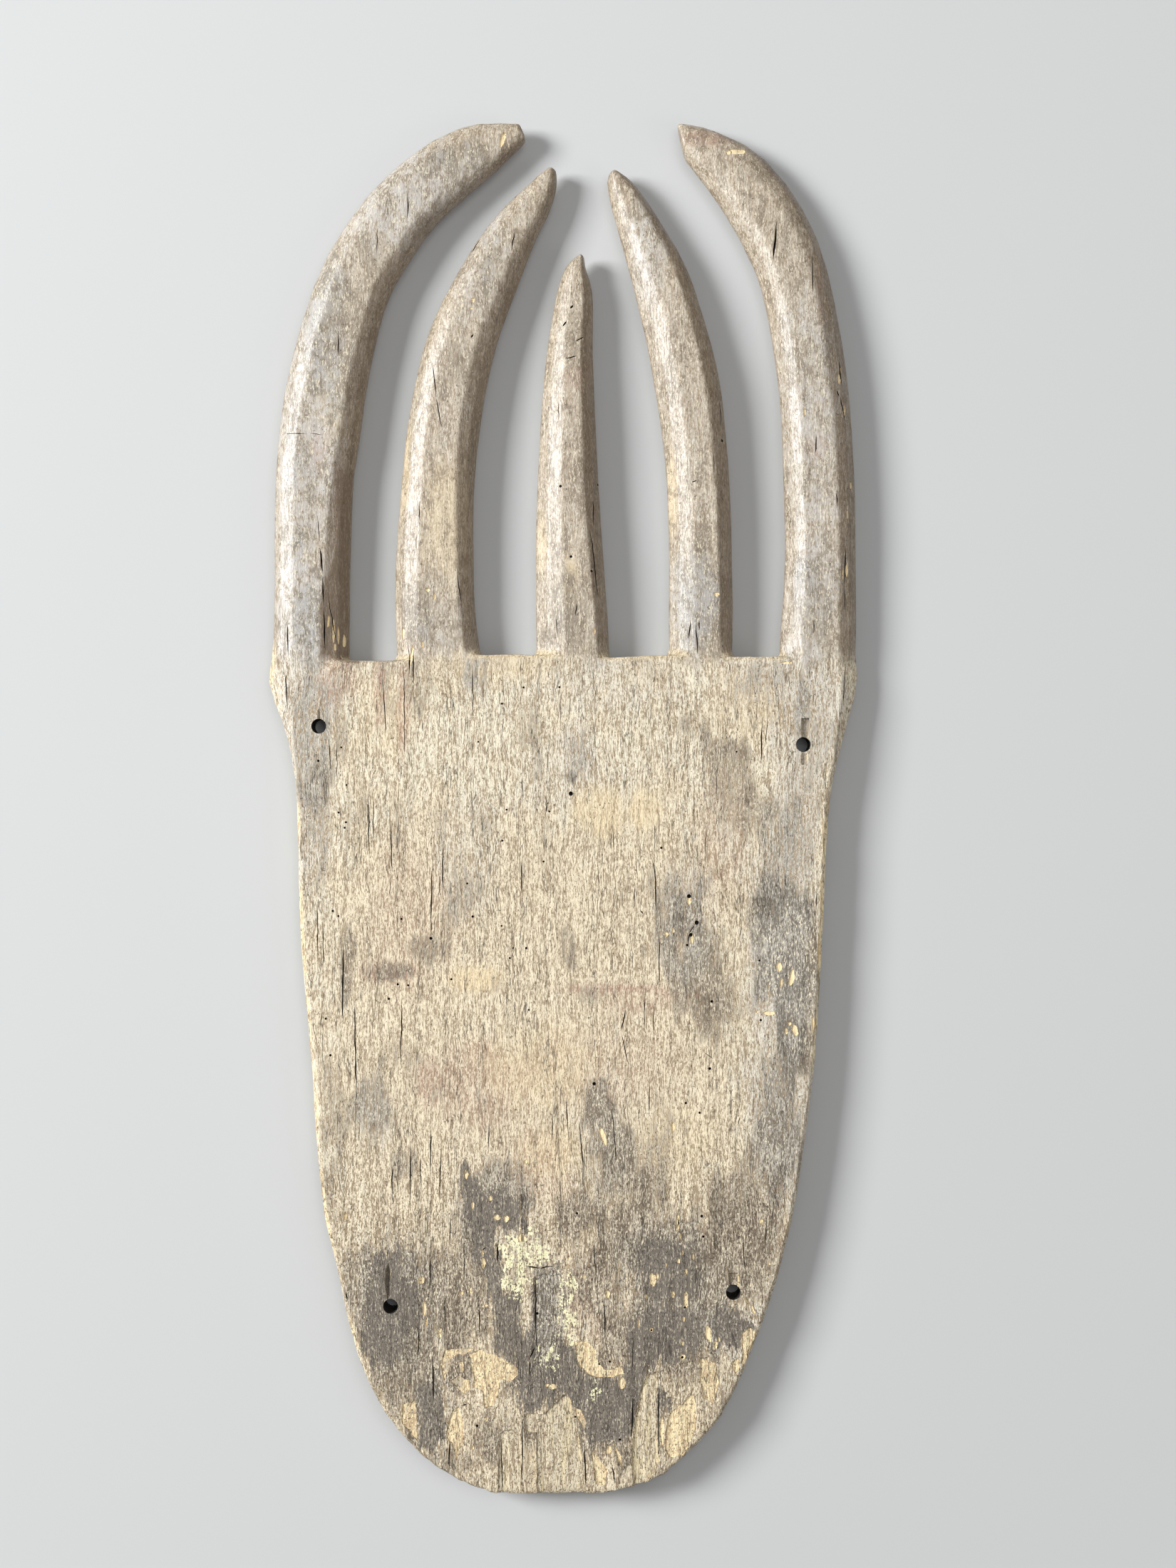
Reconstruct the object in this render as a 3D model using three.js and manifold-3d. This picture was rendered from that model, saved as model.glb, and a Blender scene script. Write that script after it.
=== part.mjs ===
// A horned board mask: one plank carved into a rounded board with five curved horns.
// Millimetres, +Z up. The mask lies on its hidden side: +Z leaves the face that shows and
// +Y runs from the worn lower end to the horns. The places below are measured from the worn
// lower end, on the board's centre line, and the finished mask is moved to have its origin
// under the middle of its outline.

import * as THREE from 'three';
import { mergeVertices } from 'three/addons/utils/BufferGeometryUtils.js';
import Module from 'manifold-3d';

const wasm = await Module();
wasm.setup();

// Board
const BOARD_THICKNESS = 27;
const OUTLINE_STEPS = 44;
// A place on the board from which the whole outline can be seen
const FACE_MIDDLE = [0, 460];
const RIGHT_EDGE = [
  [30, 2.8], [45, 6], [69, 13.8], [96, 37], [122, 69], [148, 131], [167, 195], [178, 258],
  [186, 322], [192, 417], [197, 513], [203.5, 548], [208.5, 566], [215, 587], [218.5, 603], [218, 623],
];
const LEFT_EDGE = [
  [-51, 2.8], [-66, 8], [-92, 21], [-124, 52], [-150, 99], [-167, 163], [-180, 227], [-187, 322],
  [-195, 417], [-198, 513], [-202, 550], [-209.5, 577], [-215, 589], [-219, 603], [-218, 620],
];
// The top edge between the horns, from right to left
const SHOULDER = [
  [160, 623.2], [127, 623.2], [78, 624.8], [34, 622.6],
  [-20, 624.8], [-63, 624.8], [-124, 620.4], [-160, 620.2],
];

// Rim of the board, from its hidden side up to its face: a wide bevel, a nearly upright edge and a chamfer
const BACK_BEVEL_WIDTH = 30;
const BACK_BEVEL_HEIGHT = 8;
const RIM_WIDEST_AT = 13;
const RIM_INSET_AT_BEVEL = 2;
const RIM_INSET_AT_CHAMFER = 0.5;
const CHAMFER_WIDTH = 3;
const CHAMFER_DROP = 3;
const SHOULDER_CHAMFER = 1.3;
const SHOULDER_BACK_CHAMFER = 2;
// Least share of a full mitre, which keeps the rim's corners from running far inward
const LEAST_MITRE = 0.6;
// Up the flare the chamfer widens into the long outer facet of the outer horns, and the back bevel narrows
const FLARE_START = 535;
const FLARE_END = 618;
const FLARE_CHAMFER_WIDTH = 14;
const FLARE_CHAMFER_DROP = 10;
const FLARE_BEVEL_WIDTH = 10;

// Horns. A station is a place on the centre line and the width there. The ridges are where
// the facets meet, as shares of the half width: outer left, left, right, outer right.
const HORN_RINGS = 24;
// Above 1, the rings stand closer together towards the tip, where the horn narrows and turns
const RING_CROWDING = 1.35;
const HORNS = [
  {
    stations: [
      [-184, 560, 38], [-187.5, 592, 53], [-188.5, 620, 58.5], [-187, 656, 55.3], [-186.6, 710, 57.2],
      [-185.3, 758, 57.8], [-180.5, 796, 60.5], [-175, 831, 59], [-156.5, 898, 55], [-139.3, 929.5, 54.5],
      [-118.2, 957.8, 52], [-83.8, 987.6, 48], [-61, 1001, 40], [-30, 1014, 15],
    ],
    baseRidges: [-0.84, -0.46, 0.3, 0.72],
    tipRidges: [-0.82, -0.5, 0.55, 0.84],
  },
  {
    stations: [
      [-92, 596, 56], [-92.6, 622, 62.5], [-95.5, 652, 59.5], [-96, 683, 59], [-94, 741, 54.5],
      [-88.5, 799, 53.5], [-76, 856.5, 51.5], [-53, 910.5, 43.5], [-39, 937, 37],
      [-22.6, 960.5, 27.5], [-12, 978.5, 15.5], [-8.5, 987, 6],
    ],
    baseRidges: [-0.78, -0.38, 0.66, 0.88],
    tipRidges: [-0.8, -0.42, 0.45, 0.82],
  },
  {
    stations: [
      [7, 598, 50], [6.8, 626, 54], [5, 680, 51.5], [3.4, 737, 47], [3.3, 807, 40], [4.7, 853, 34],
      [8.2, 896, 26.5], [8.8, 911, 17.5], [12.2, 919.5, 8], [13.6, 923.5, 3],
    ],
    baseRidges: [-0.64, -0.14, 0.66, 0.86],
    tipRidges: [-0.66, -0.2, 0.5, 0.8],
  },
  {
    stations: [
      [102, 596, 43], [102, 626, 47.5], [101.6, 710, 47], [99, 767, 47], [92, 824, 48.5], [81, 874, 46],
      [71, 907, 42.5], [60, 934, 35], [45.5, 966, 23.5], [38.5, 979, 14.5], [35.5, 984.5, 6],
    ],
    baseRidges: [-0.68, -0.2, 0.56, 0.82],
    tipRidges: [-0.66, -0.24, 0.5, 0.8],
  },
  {
    stations: [
      [185, 560, 38], [187.5, 592, 52], [188.8, 624, 57], [191, 687, 53], [189.7, 754, 53], [186, 820, 52],
      [175.8, 885, 51.5], [167.6, 916.8, 52], [152.9, 947.6, 51.8], [129.6, 980, 47],
      [101, 1003, 31], [87, 1011, 20.5], [72, 1018, 9],
    ],
    baseRidges: [-0.72, -0.46, 0.5, 0.82],
    tipRidges: [-0.76, -0.48, 0.42, 0.8],
    // The end is hewn off along this line, from the sharp upper corner down to the inner edge
    endCut: [[84, 1020.5], [90.5, 992]],
  },
];
const CUT_BLOCK_SIZE = 200;

// Heights of a horn's front facet against the board's face. The root starts sunk in the board,
// the horn crowns at half its length, and the tip falls away steeply at the end.
const SHOULDER_Y = 622;
const ROOT_LENGTH_PAST_SHOULDER = 8;
const ROOT_FRONT = -3;
const HORN_PROUD = 0.4;
const HORN_CROWN = 2.6;
const TIP_FRONT_DROP = 8;
const TIP_FRONT_STEEPNESS = 4;
// Heights of its back facet above the surface that the mask lies on
const ROOT_BACK = 6;
const HORN_BACK = 0.5;
const TIP_BACK_LIFT = 5.5;
const TIP_BACK_STEEPNESS = 3;
// The share of the free length at which the base ridges have turned into the tip ridges
const RIDGES_SETTLED_AT = 0.45;

// A horn's section, as shares of the half width and the half depth
const SIDE_FACET = [-0.28, 0.12];
const OUTER_RIDGE_HEIGHT = 0.64;
const BACK_SIDE_RIDGE = [0.8, -0.74];
const BACK_FACET_HALF_WIDTH = 0.44;

// Cord holes: one near each corner of the board, with the grooves that cords and tools wore in the face
const CORD_HOLE_DIAMETER = 11;
const CORD_HOLE_SIDES = 24;
const CORD_HOLES = [[-180.7, 571.5], [177.1, 557.9], [-127.7, 143.2], [125.4, 153.3]];
// Each groove is a V-shaped cut, pointed at both ends or square-ended
const GROOVES = [
  { middle: [-180.6, 578], halfWidth: 1.3, halfLength: 7, depth: 2.2, pointed: true },
  { middle: [178.5, 567.5], halfWidth: 3, halfLength: 10, depth: 3.2, pointed: false },
  { middle: [177.7, 548.5], halfWidth: 2.1, halfLength: 5.5, depth: 2, pointed: false },
  { middle: [-129.6, 161.5], halfWidth: 2.6, halfLength: 15.5, depth: 3.6, pointed: true },
  { middle: [125.2, 161.5], halfWidth: 3.4, halfLength: 6.5, depth: 2.4, pointed: false },
];

// The shallow sunk panel low on the face
const PANEL = { middle: [-12.8, 135.7], size: [19, 72], depth: 1.2 };

// Points nearer to each other than this are one point
const MERGE_DISTANCE = 1e-4;

const mix = THREE.MathUtils.lerp;
const smoothstep = THREE.MathUtils.smoothstep;
const clamp = THREE.MathUtils.clamp;

// A closed body of rings. A cylinder of radius 1 gives the rings and the two end caps, and place()
// says where each of its points goes: side and ring count from 0, and a cap's middle has no side.
function loft(sides, rings, place) {
  const geometry = new THREE.CylinderGeometry(1, 1, 1, sides, rings - 1);
  const points = geometry.attributes.position;
  for (let i = 0; i < points.count; i += 1) {
    const x = points.getX(i);
    const z = points.getZ(i);
    const turn = Math.atan2(x, z) / (2 * Math.PI);
    const side = Math.hypot(x, z) < 0.5 ? null : Math.round(turn * sides + sides) % sides;
    const ring = Math.round((points.getY(i) + 0.5) * (rings - 1));
    points.setXYZ(i, ...place(side, ring));
  }
  return geometry;
}

function toSolid(geometry) {
  geometry.deleteAttribute('normal');
  geometry.deleteAttribute('uv');
  const merged = mergeVertices(geometry, MERGE_DISTANCE);
  return new wasm.Manifold(new wasm.Mesh({
    numProp: 3,
    vertProperties: new Float32Array(merged.attributes.position.array),
    triVerts: new Uint32Array(merged.index.array),
  }));
}

function fromSolid(solid) {
  const mesh = solid.getMesh();
  const geometry = new THREE.BufferGeometry();
  geometry.setAttribute('position', new THREE.BufferAttribute(mesh.vertProperties, 3));
  geometry.setIndex(new THREE.BufferAttribute(mesh.triVerts, 1));
  geometry.computeVertexNormals();
  return geometry;
}

// The board's outline, once round: up the right edge, over the shoulder and down the left edge
function boardOutline() {
  const curve = (edge) => new THREE.SplineCurve(edge.map(([x, y]) => new THREE.Vector2(x, y)));
  const right = curve(RIGHT_EDGE).getSpacedPoints(OUTLINE_STEPS);
  const left = curve(LEFT_EDGE).getSpacedPoints(OUTLINE_STEPS).reverse();
  const shoulder = SHOULDER.map(([x, y]) => new THREE.Vector2(x, y));
  return [
    ...right.map((point) => ({ point, onShoulder: false })),
    ...shoulder.map((point) => ({ point, onShoulder: true })),
    ...left.map((point) => ({ point, onShoulder: false })),
  ];
}

// How far the rim stands in from the outline at each level, as [inset, height]
function rimLevels({ point, onShoulder }) {
  if (onShoulder) {
    return [
      [SHOULDER_BACK_CHAMFER, 0], [0, SHOULDER_BACK_CHAMFER], [0, RIM_WIDEST_AT],
      [0, BOARD_THICKNESS - SHOULDER_CHAMFER], [SHOULDER_CHAMFER, BOARD_THICKNESS],
    ];
  }
  const flare = smoothstep(point.y, FLARE_START, FLARE_END);
  const width = mix(CHAMFER_WIDTH, FLARE_CHAMFER_WIDTH, flare);
  const drop = mix(CHAMFER_DROP, FLARE_CHAMFER_DROP, flare);
  const bevel = mix(BACK_BEVEL_WIDTH, FLARE_BEVEL_WIDTH, flare);
  return [
    [bevel, 0], [RIM_INSET_AT_BEVEL, BACK_BEVEL_HEIGHT], [0, RIM_WIDEST_AT],
    [RIM_INSET_AT_CHAMFER, BOARD_THICKNESS - drop], [width, BOARD_THICKNESS],
  ];
}

function makeBoard() {
  const outline = boardOutline();
  const count = outline.length;
  const inward = outline.map(({ point }, i) => {
    const before = outline[(i + count - 1) % count].point;
    const after = outline[(i + 1) % count].point;
    const into = point.clone().sub(before).normalize();
    const out = after.clone().sub(point).normalize();
    const normal = new THREE.Vector2(-into.y - out.y, into.x + out.x).normalize();
    const mitre = Math.max(LEAST_MITRE, Math.sqrt((1 + into.dot(out)) / 2));
    return normal.divideScalar(mitre);
  });
  const levels = outline.map(rimLevels);
  const geometry = loft(count, levels[0].length, (side, ring) => {
    if (side === null) return [...FACE_MIDDLE, levels[0][ring][1]];
    const [inset, height] = levels[side][ring];
    const { point } = outline[side];
    return [point.x + inward[side].x * inset, point.y + inward[side].y * inset, height];
  });
  return toSolid(geometry);
}

// The corners of a horn's section, clockwise from its lower left
function hornSection([outerLeft, left, right, outerRight]) {
  const [sideLow, sideHigh] = SIDE_FACET;
  const [backRidge, backRidgeHeight] = BACK_SIDE_RIDGE;
  return [
    [-1, sideLow], [-1, sideHigh], [outerLeft, OUTER_RIDGE_HEIGHT], [left, 1],
    [right, 1], [outerRight, OUTER_RIDGE_HEIGHT], [1, sideHigh], [1, sideLow],
    [backRidge, backRidgeHeight], [BACK_FACET_HALF_WIDTH, -1],
    [-BACK_FACET_HALF_WIDTH, -1], [-backRidge, backRidgeHeight],
  ];
}

function makeHorn({ stations, baseRidges, tipRidges, endCut }) {
  const curve = new THREE.CatmullRomCurve3(stations.map((station) => new THREE.Vector3(...station)));
  const rootY = stations[0][1];
  const rootLength = SHOULDER_Y + ROOT_LENGTH_PAST_SHOULDER - rootY;
  const rootShare = rootLength / curve.getLength();
  const rings = Array.from({ length: HORN_RINGS }, (_, i) => {
    const along = 1 - (1 - i / (HORN_RINGS - 1)) ** RING_CROWDING;
    const { x, y, z: width } = curve.getPointAt(along);
    const heading = curve.getTangentAt(along).setZ(0).normalize();
    const across = new THREE.Vector2(heading.y, -heading.x);
    const rise = clamp((y - rootY) / rootLength, 0, 1);
    const out = clamp((along - rootShare) / (1 - rootShare), 0, 1);
    const crown = HORN_CROWN * Math.sin(Math.PI * out) - TIP_FRONT_DROP * out ** TIP_FRONT_STEEPNESS;
    const front = BOARD_THICKNESS + mix(ROOT_FRONT, HORN_PROUD, rise) + crown;
    const back = mix(ROOT_BACK, HORN_BACK, rise) + TIP_BACK_LIFT * out ** TIP_BACK_STEEPNESS;
    const turned = smoothstep(out, 0, RIDGES_SETTLED_AT);
    const ridges = baseRidges.map((ridge, k) => mix(ridge, tipRidges[k], turned));
    return { x, y, across, width, front, back, section: hornSection(ridges) };
  });
  const geometry = loft(rings[0].section.length, HORN_RINGS, (side, ring) => {
    const { x, y, across, width, front, back, section } = rings[ring];
    const [u, v] = side === null ? [0, 0] : section[side];
    const sideways = u * width / 2;
    return [x + across.x * sideways, y + across.y * sideways, mix(back, front, (1 + v) / 2)];
  });
  const horn = toSolid(geometry);
  return endCut ? horn.subtract(pastLine(...endCut)) : horn;
}

// A block whose one side stands on the line from a to b, on the right-hand side of that line
function pastLine(a, b) {
  const heading = new THREE.Vector2(b[0] - a[0], b[1] - a[1]).normalize();
  const block = new THREE.BoxGeometry(CUT_BLOCK_SIZE, CUT_BLOCK_SIZE, CUT_BLOCK_SIZE);
  block.rotateZ(Math.atan2(heading.y, heading.x));
  block.translate(
    (a[0] + b[0]) / 2 + heading.y * CUT_BLOCK_SIZE / 2,
    (a[1] + b[1]) / 2 - heading.x * CUT_BLOCK_SIZE / 2,
    0,
  );
  return toSolid(block);
}

function makeCordHole([x, y]) {
  const radius = CORD_HOLE_DIAMETER / 2;
  const drill = new THREE.CylinderGeometry(radius, radius, 4 * BOARD_THICKNESS, CORD_HOLE_SIDES);
  drill.rotateX(Math.PI / 2);
  drill.translate(x, y, 0);
  return toSolid(drill);
}

function makeGroove({ middle, halfWidth, halfLength, depth, pointed }) {
  const blade = pointed ? new THREE.OctahedronGeometry(1) : new THREE.CylinderGeometry(1, 1, 2, 4);
  blade.scale(halfWidth, halfLength, depth);
  blade.translate(...middle, BOARD_THICKNESS);
  return toSolid(blade);
}

function makePanel({ middle, size, depth }) {
  const slab = new THREE.BoxGeometry(...size, 2 * depth);
  slab.translate(...middle, BOARD_THICKNESS);
  return toSolid(slab);
}

function makeMask() {
  const carved = HORNS.map(makeHorn).reduce((whole, horn) => whole.add(horn), makeBoard());
  const cuts = [...CORD_HOLES.map(makeCordHole), ...GROOVES.map(makeGroove), makePanel(PANEL)];
  const geometry = fromSolid(cuts.reduce((whole, cut) => whole.subtract(cut), carved));
  geometry.computeBoundingBox();
  const middle = geometry.boundingBox.getCenter(new THREE.Vector3());
  geometry.translate(-middle.x, -middle.y, -geometry.boundingBox.min.z);
  const wood = new THREE.MeshStandardMaterial({ color: 0x8e7f6c, roughness: 0.72, metalness: 0 });
  const mask = new THREE.Mesh(geometry, wood);
  mask.name = 'horned_board_mask';
  return mask;
}

const part = new THREE.Group();
part.add(makeMask());

export default part;
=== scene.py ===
# A horned wooden board mask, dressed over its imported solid: dry open grain, splits, worm holes,
# chips of fresh wood, a flaked lower end, and horns that handling has polished.
# The properties are in metres. The lists of places are in millimetres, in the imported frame, as
# seen from the visible side: x to the right, y towards the horns.

import bmesh
import bpy
import numpy as np
from bpy.props import FloatProperty, FloatVectorProperty, IntProperty, PointerProperty
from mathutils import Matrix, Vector


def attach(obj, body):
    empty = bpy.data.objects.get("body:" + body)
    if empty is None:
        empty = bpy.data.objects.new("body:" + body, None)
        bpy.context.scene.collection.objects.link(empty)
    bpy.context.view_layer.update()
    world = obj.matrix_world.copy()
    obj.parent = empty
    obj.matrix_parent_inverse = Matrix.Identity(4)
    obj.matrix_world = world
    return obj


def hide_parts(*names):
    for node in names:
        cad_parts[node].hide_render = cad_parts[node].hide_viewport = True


bl_info = {
    "name": "Horned Board Mask",
    "version": (1, 0, 0),
    "blender": (4, 5, 0),
    "location": "3D View > Sidebar > Mask",
    "description": "Carves, bores and finishes a horned wooden board mask, and sets its stage",
    "category": "Object",
}

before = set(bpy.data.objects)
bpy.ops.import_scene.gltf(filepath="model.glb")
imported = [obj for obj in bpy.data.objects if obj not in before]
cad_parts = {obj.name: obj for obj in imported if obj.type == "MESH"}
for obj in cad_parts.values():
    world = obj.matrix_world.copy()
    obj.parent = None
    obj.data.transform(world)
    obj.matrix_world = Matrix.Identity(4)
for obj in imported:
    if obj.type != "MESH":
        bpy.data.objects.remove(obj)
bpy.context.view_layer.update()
NODE = "horned_board_mask"
PIECE = "carved_mask"

MM = 0.001

# Height of the visible face, y where the board ends and the horns begin, and a height clear of the mask
FACE = 27.0
SHOULDER = 113.0
OVERHEAD = 60.0

# What a face shows: the worn surface, a near-black wall of soot and painted shade, a chip, the flaked layer
# or a shallow patch
SURFACE = 0.0
SOOT_AND_SHADE = 1.0
CHIP = 2.0
FLAKE = 3.0
SHALLOW = 4.0

# Seeds of the random shapes
CHIP_SEED = 21
SPLIT_SEED = 12
WORM_HOLE_SEED = 5

# Cord holes, as x and y
CORD_HOLES = [(-180.5, 59.7), (177.3, 46.1), (-127.5, -368.6), (125.6, -358.5)]

# Grooves beside the cord holes, as x, y, half width, half length and depth
POINTED_GROOVES = [(-180.4, 66.2, 1.3, 7, 2.2), (-129.4, -350.3, 2.6, 15.5, 3.6)]
SQUARE_GROOVES = [(178.7, 55.7, 3, 10, 3.2), (177.9, 36.7, 2.1, 5.5, 2), (125.4, -350.3, 3.4, 6.5, 2.4)]

# Splits along the grain, as x and y of the upper end, x and y of the lower end, width and depth
BOARD_SPLITS = [
    (-144, 12, -143, -34, 1.3, 2), (-140, 8, -140.5, -30, 0.8, 1.5), (-127, -10, -126.5, -47, 1.1, 2),
    (-128, -52, -128, -67, 0.8, 1.2), (-89, -24, -89, -65, 1.3, 3), (-91, -54, -92, -68, 0.8, 1.5),
    (-97, -47, -97.5, -95, 1.4, 1.2), (-177, -86, -177, -117, 1.1, 1.5),
    (-181.5, -74, -181, -110, 1.1, 1.5), (-162, -101, -163, -157, 1.8, 1.5),
    (-154, -141, -152.5, -219, 1.6, 2), (-119, -146, -120, -190, 1.5, 2), (-97.5, -238, -98, -269, 1.3, 3),
    (-113, -247, -113, -296, 1.3, 2), (-106, -259, -105, -281, 1.1, 1.5), (-90.5, -254, -91, -292, 1.3, 2),
    (-126, -264, -126.5, -288, 1.3, 2), (-46.5, -137, -46.5, -146, 0.8, 1.5),
    (45.5, -150, 43, -166, 1.2, 1.5), (43, -167, 48, -190, 1.2, 1.5), (60, -141, 60, -162, 1, 1.5),
    (66.5, -144, 66.5, -170, 1, 1.5), (63.5, -200, 63.5, -227, 1, 1.5), (71, -92, 71, -133, 1.1, 1.2),
    (67, -37, 69, -80, 1.4, 1), (52.5, -58, 52.5, -74, 1, 1), (67, -11, 68, -35, 0.8, 1),
    (163.5, -49, 164.5, -60, 1.1, 1.5), (130, -229, 129.5, -235, 1.1, 2), (-133, 94, -131, 52, 1.2, 1),
    (-117.5, 104, -117, 37, 1.1, 1.2), (-173, 52, -172, 27, 1.1, 1.5), (-67, 106, -66.5, 64, 1.1, 1),
    (-104, 64, -104, 56, 0.8, 1), (147, 66, 146, 32, 1.3, 1.5), (151, 66, 149.5, 45, 0.8, 1),
    (-48.5, -321, -48.5, -337, 2, 1.5), (-160, -358, -160, -366, 1.5, 2), (187.5, -60, 186, -80, 1.1, 1.5),
    (-110.5, 116, -110.5, 91, 1.6, 2), (-114.5, 120, -113, 98, 1.2, 1.5), (98, 136, 99, 113, 1.6, 2),
    (208, 101, 207, 75, 1.1, 1.5), (-30, -449, -30.5, -500, 1.3, 2), (-20.5, -346, -20, -398, 1.2, 1.6),
    (-20.5, -399, -25, -408, 1.5, 1.5), (-25, -409, -24.5, -421, 1.4, 1.4),
    (15.5, -470, 17, -505, 1.6, 1.6), (36, -484, 38, -500, 1.4, 1.5), (-84, -468, -84, -490, 1.5, 1.5),
    (-46, -468, -45, -505, 1.2, 1.4), (51.5, -432, 50.5, -470, 1.8, 1.8),
    (70.5, -424, 70.5, -480, 1.3, 1.5), (-96, -405, -96, -440, 1.6, 1.5),
    (-106.5, -384, -107, -404, 1.4, 1.5), (85, -303, 85, -312, 1.3, 2), (-167, 50, -167, 20, 0.9, 1.2),
    (-87, -360, -87.5, -386, 1.2, 1.4), (-73, -320, -73.5, -350, 1.2, 1.4),
    (-98, -330, -98, -352, 1.1, 1.4), (-83, -300, -83.5, -325, 1.1, 1.4), (30, -362, 31, -392, 1.3, 1.4),
    (22, -318, 24, -345, 1.1, 1.4), (133, -318, 134, -345, 1.1, 1.4), (150, -300, 149, -330, 1, 1.4),
    (52, -390, 51, -420, 1.1, 1.2), (-62, -362, -62, -392, 1.2, 1.4), (2, -215, 4, -240, 1.3, 1.4),
    (36, -222, 39, -262, 1.3, 1.4), (12, -232, 15, -268, 1.2, 1.4), (-8, -226, -8, -248, 1, 1.4),
    (-55, -232, -55, -252, 1, 1.4), (-30, 22, -30, 8, 0.8, 1), (-12, 6, -13, -8, 1, 1),
    (-31, -40, -31, -64, 1, 1.2),
]
HORN_SPLITS = [
    (-179.5, 191, -177, 172, 1.8, 3), (-177.5, 170, -176.5, 148, 1.4, 2), (-176.5, 147, -176, 116, 1.5, 2),
    (-174, 158, -168, 122, 1, 1.5), (-204, 139, -203.5, 110, 1.5, 2), (-181, 215, -179.5, 196, 0.9, 1.2),
    (-114.5, 454, -115, 434, 1.3, 2), (-137, 427, -137.5, 409, 1.1, 2), (-166, 351, -165.5, 333, 1.1, 2),
    (-96.5, 328, -93.5, 302, 1.3, 2.5), (-93.5, 301, -89.5, 280, 1.3, 2.5),
    (157.5, 432, 155, 404, 2.2, 3.5), (184, 408, 184, 380, 1.3, 1.5), (202, 233, 202, 221, 1.1, 2),
    (-205, 101, -204, 71, 1.1, 1.5), (-62, 422, -68, 411, 1.1, 1.5), (-38, 412, -36, 425, 1.2, 2),
    (-78.5, 176, -75, 150, 1, 1.2), (-106, 226, -106, 206, 0.9, 1.2), (22, 227, 22.5, 206, 0.8, 1.2),
    (20, 205, 26, 155, 1, 1.2), (209, 190, 208, 165, 1.8, 2), (208, 164, 208, 145, 1.2, 1.5),
    (115.5, 301, 117, 280, 0.8, 1.2), (94, 138, 93, 124, 1.4, 2), (100.5, 137, 100.5, 131, 1.5, 2),
    (111, 262, 111, 246, 0.9, 1.2), (186.5, 274, 186, 261, 1.3, 1.6), (-3.5, 300, -3.5, 286, 0.9, 1.2),
    (-5, 140, -4, 126, 1, 1.3), (10, 150, 9, 141, 1.2, 1.5), (204, 330, 206, 311, 1.5, 1.5),
    (205, 303, 208, 286, 1.5, 1.5), (185, 140, 185, 128, 1, 1.2),
]

# Short slanting slits across the grain, in the same order
SLITS = [
    (7.5, 371, 5, 368.5, 1.8, 3), (2.5, 359, -0.5, 355.5, 1.8, 3), (-66, 349, -68, 346, 1.6, 3),
    (99, 241, 95, 239.5, 1.2, 1.5), (-208, 276, -188, 275, 0.7, 0.8), (-186, 275.5, -178, 274.5, 0.7, 0.8),
    (15, 347, 9, 344, 1.3, 1), (10, 333, 2, 331, 1.3, 1), (-8, -339, -17, -340.5, 1.6, 1.6),
    (-17.5, -340.5, -27, -339, 1.6, 1.6), (-74, -441.5, -71, -441, 1.6, 2),
    (-57, -325, -60, -327.5, 1.3, 1.4), (111, -186, 104, -181, 0.9, 0.9), (93, -93, 97, -87, 1.2, 2),
    (92, -100, 93, -94, 1.3, 2.5), (59, -79, 57, -76, 1.2, 1.5), (204, 303, 202, 308, 1.3, 1.4),
]

# Worm holes, as x, y and diameter
WORM_HOLES = [
    (5.4, 9.7, 3.2), (-29, 88.5, 1.6), (-2.5, 88.5, 1.6), (-45.5, 76.5, 1.6), (-180.5, 34, 1.8),
    (-166, -4, 1.6), (-160.5, -11, 1.6), (-161.5, -15.5, 1.6), (-42, -2, 1.6), (-10.5, -3, 1.6),
    (-45, -24.5, 1.6), (72.5, -30, 1.8), (-14.5, -40, 1.6), (-71, -56.5, 1.6), (-170, -76.5, 1.8),
    (-166, -80.5, 1.6), (-119.5, -83, 1.6), (-67, -81, 1.8), (-45.5, -88, 1.4), (-97.5, -97, 2.2),
    (-37, -104, 1.4), (-27.5, -104, 1.8), (-39.5, -111.5, 1.6), (-82.5, -127, 1.6), (-122, -131, 1.8),
    (-114.5, -132, 1.6), (-129, -141.5, 1.8), (109.5, -143.5, 2.1), (-25.5, -150, 1.6), (145, -113, 1.6),
    (146, -157.5, 1.8), (-175.5, -156.5, 1.6), (-172, -183, 1.8), (108.5, -193, 2.1), (23, -204.5, 2.6),
    (90.5, -218.5, 1.8), (100.5, -225.5, 1.8), (10.5, -300, 1.8), (102.5, -302, 2.1), (103.5, -317, 1.8),
    (65, -386.5, 1.6), (88, -406.5, 2.0), (34.5, -409.5, 1.8), (27, -411.5, 1.6), (-19, -374.5, 2.0),
    (-63.5, -457, 2.1), (42, -467, 1.8), (93, -66, 3.0), (98.5, -85.5, 3.2), (94, -94.5, 2.9),
    (91.5, -102, 1.8), (-2, 236.5, 2.0), (25.5, 239, 1.6), (5.5, 185, 2.0), (21, 174, 1.8),
    (117.5, 271, 2.1), (128, 41, 1.4), (-164, 44, 1.4), (-63, 48, 1.4), (90, -369.5, 1.6), (9, -450, 1.6),
    (-160, 16, 1.4),
]

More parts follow.
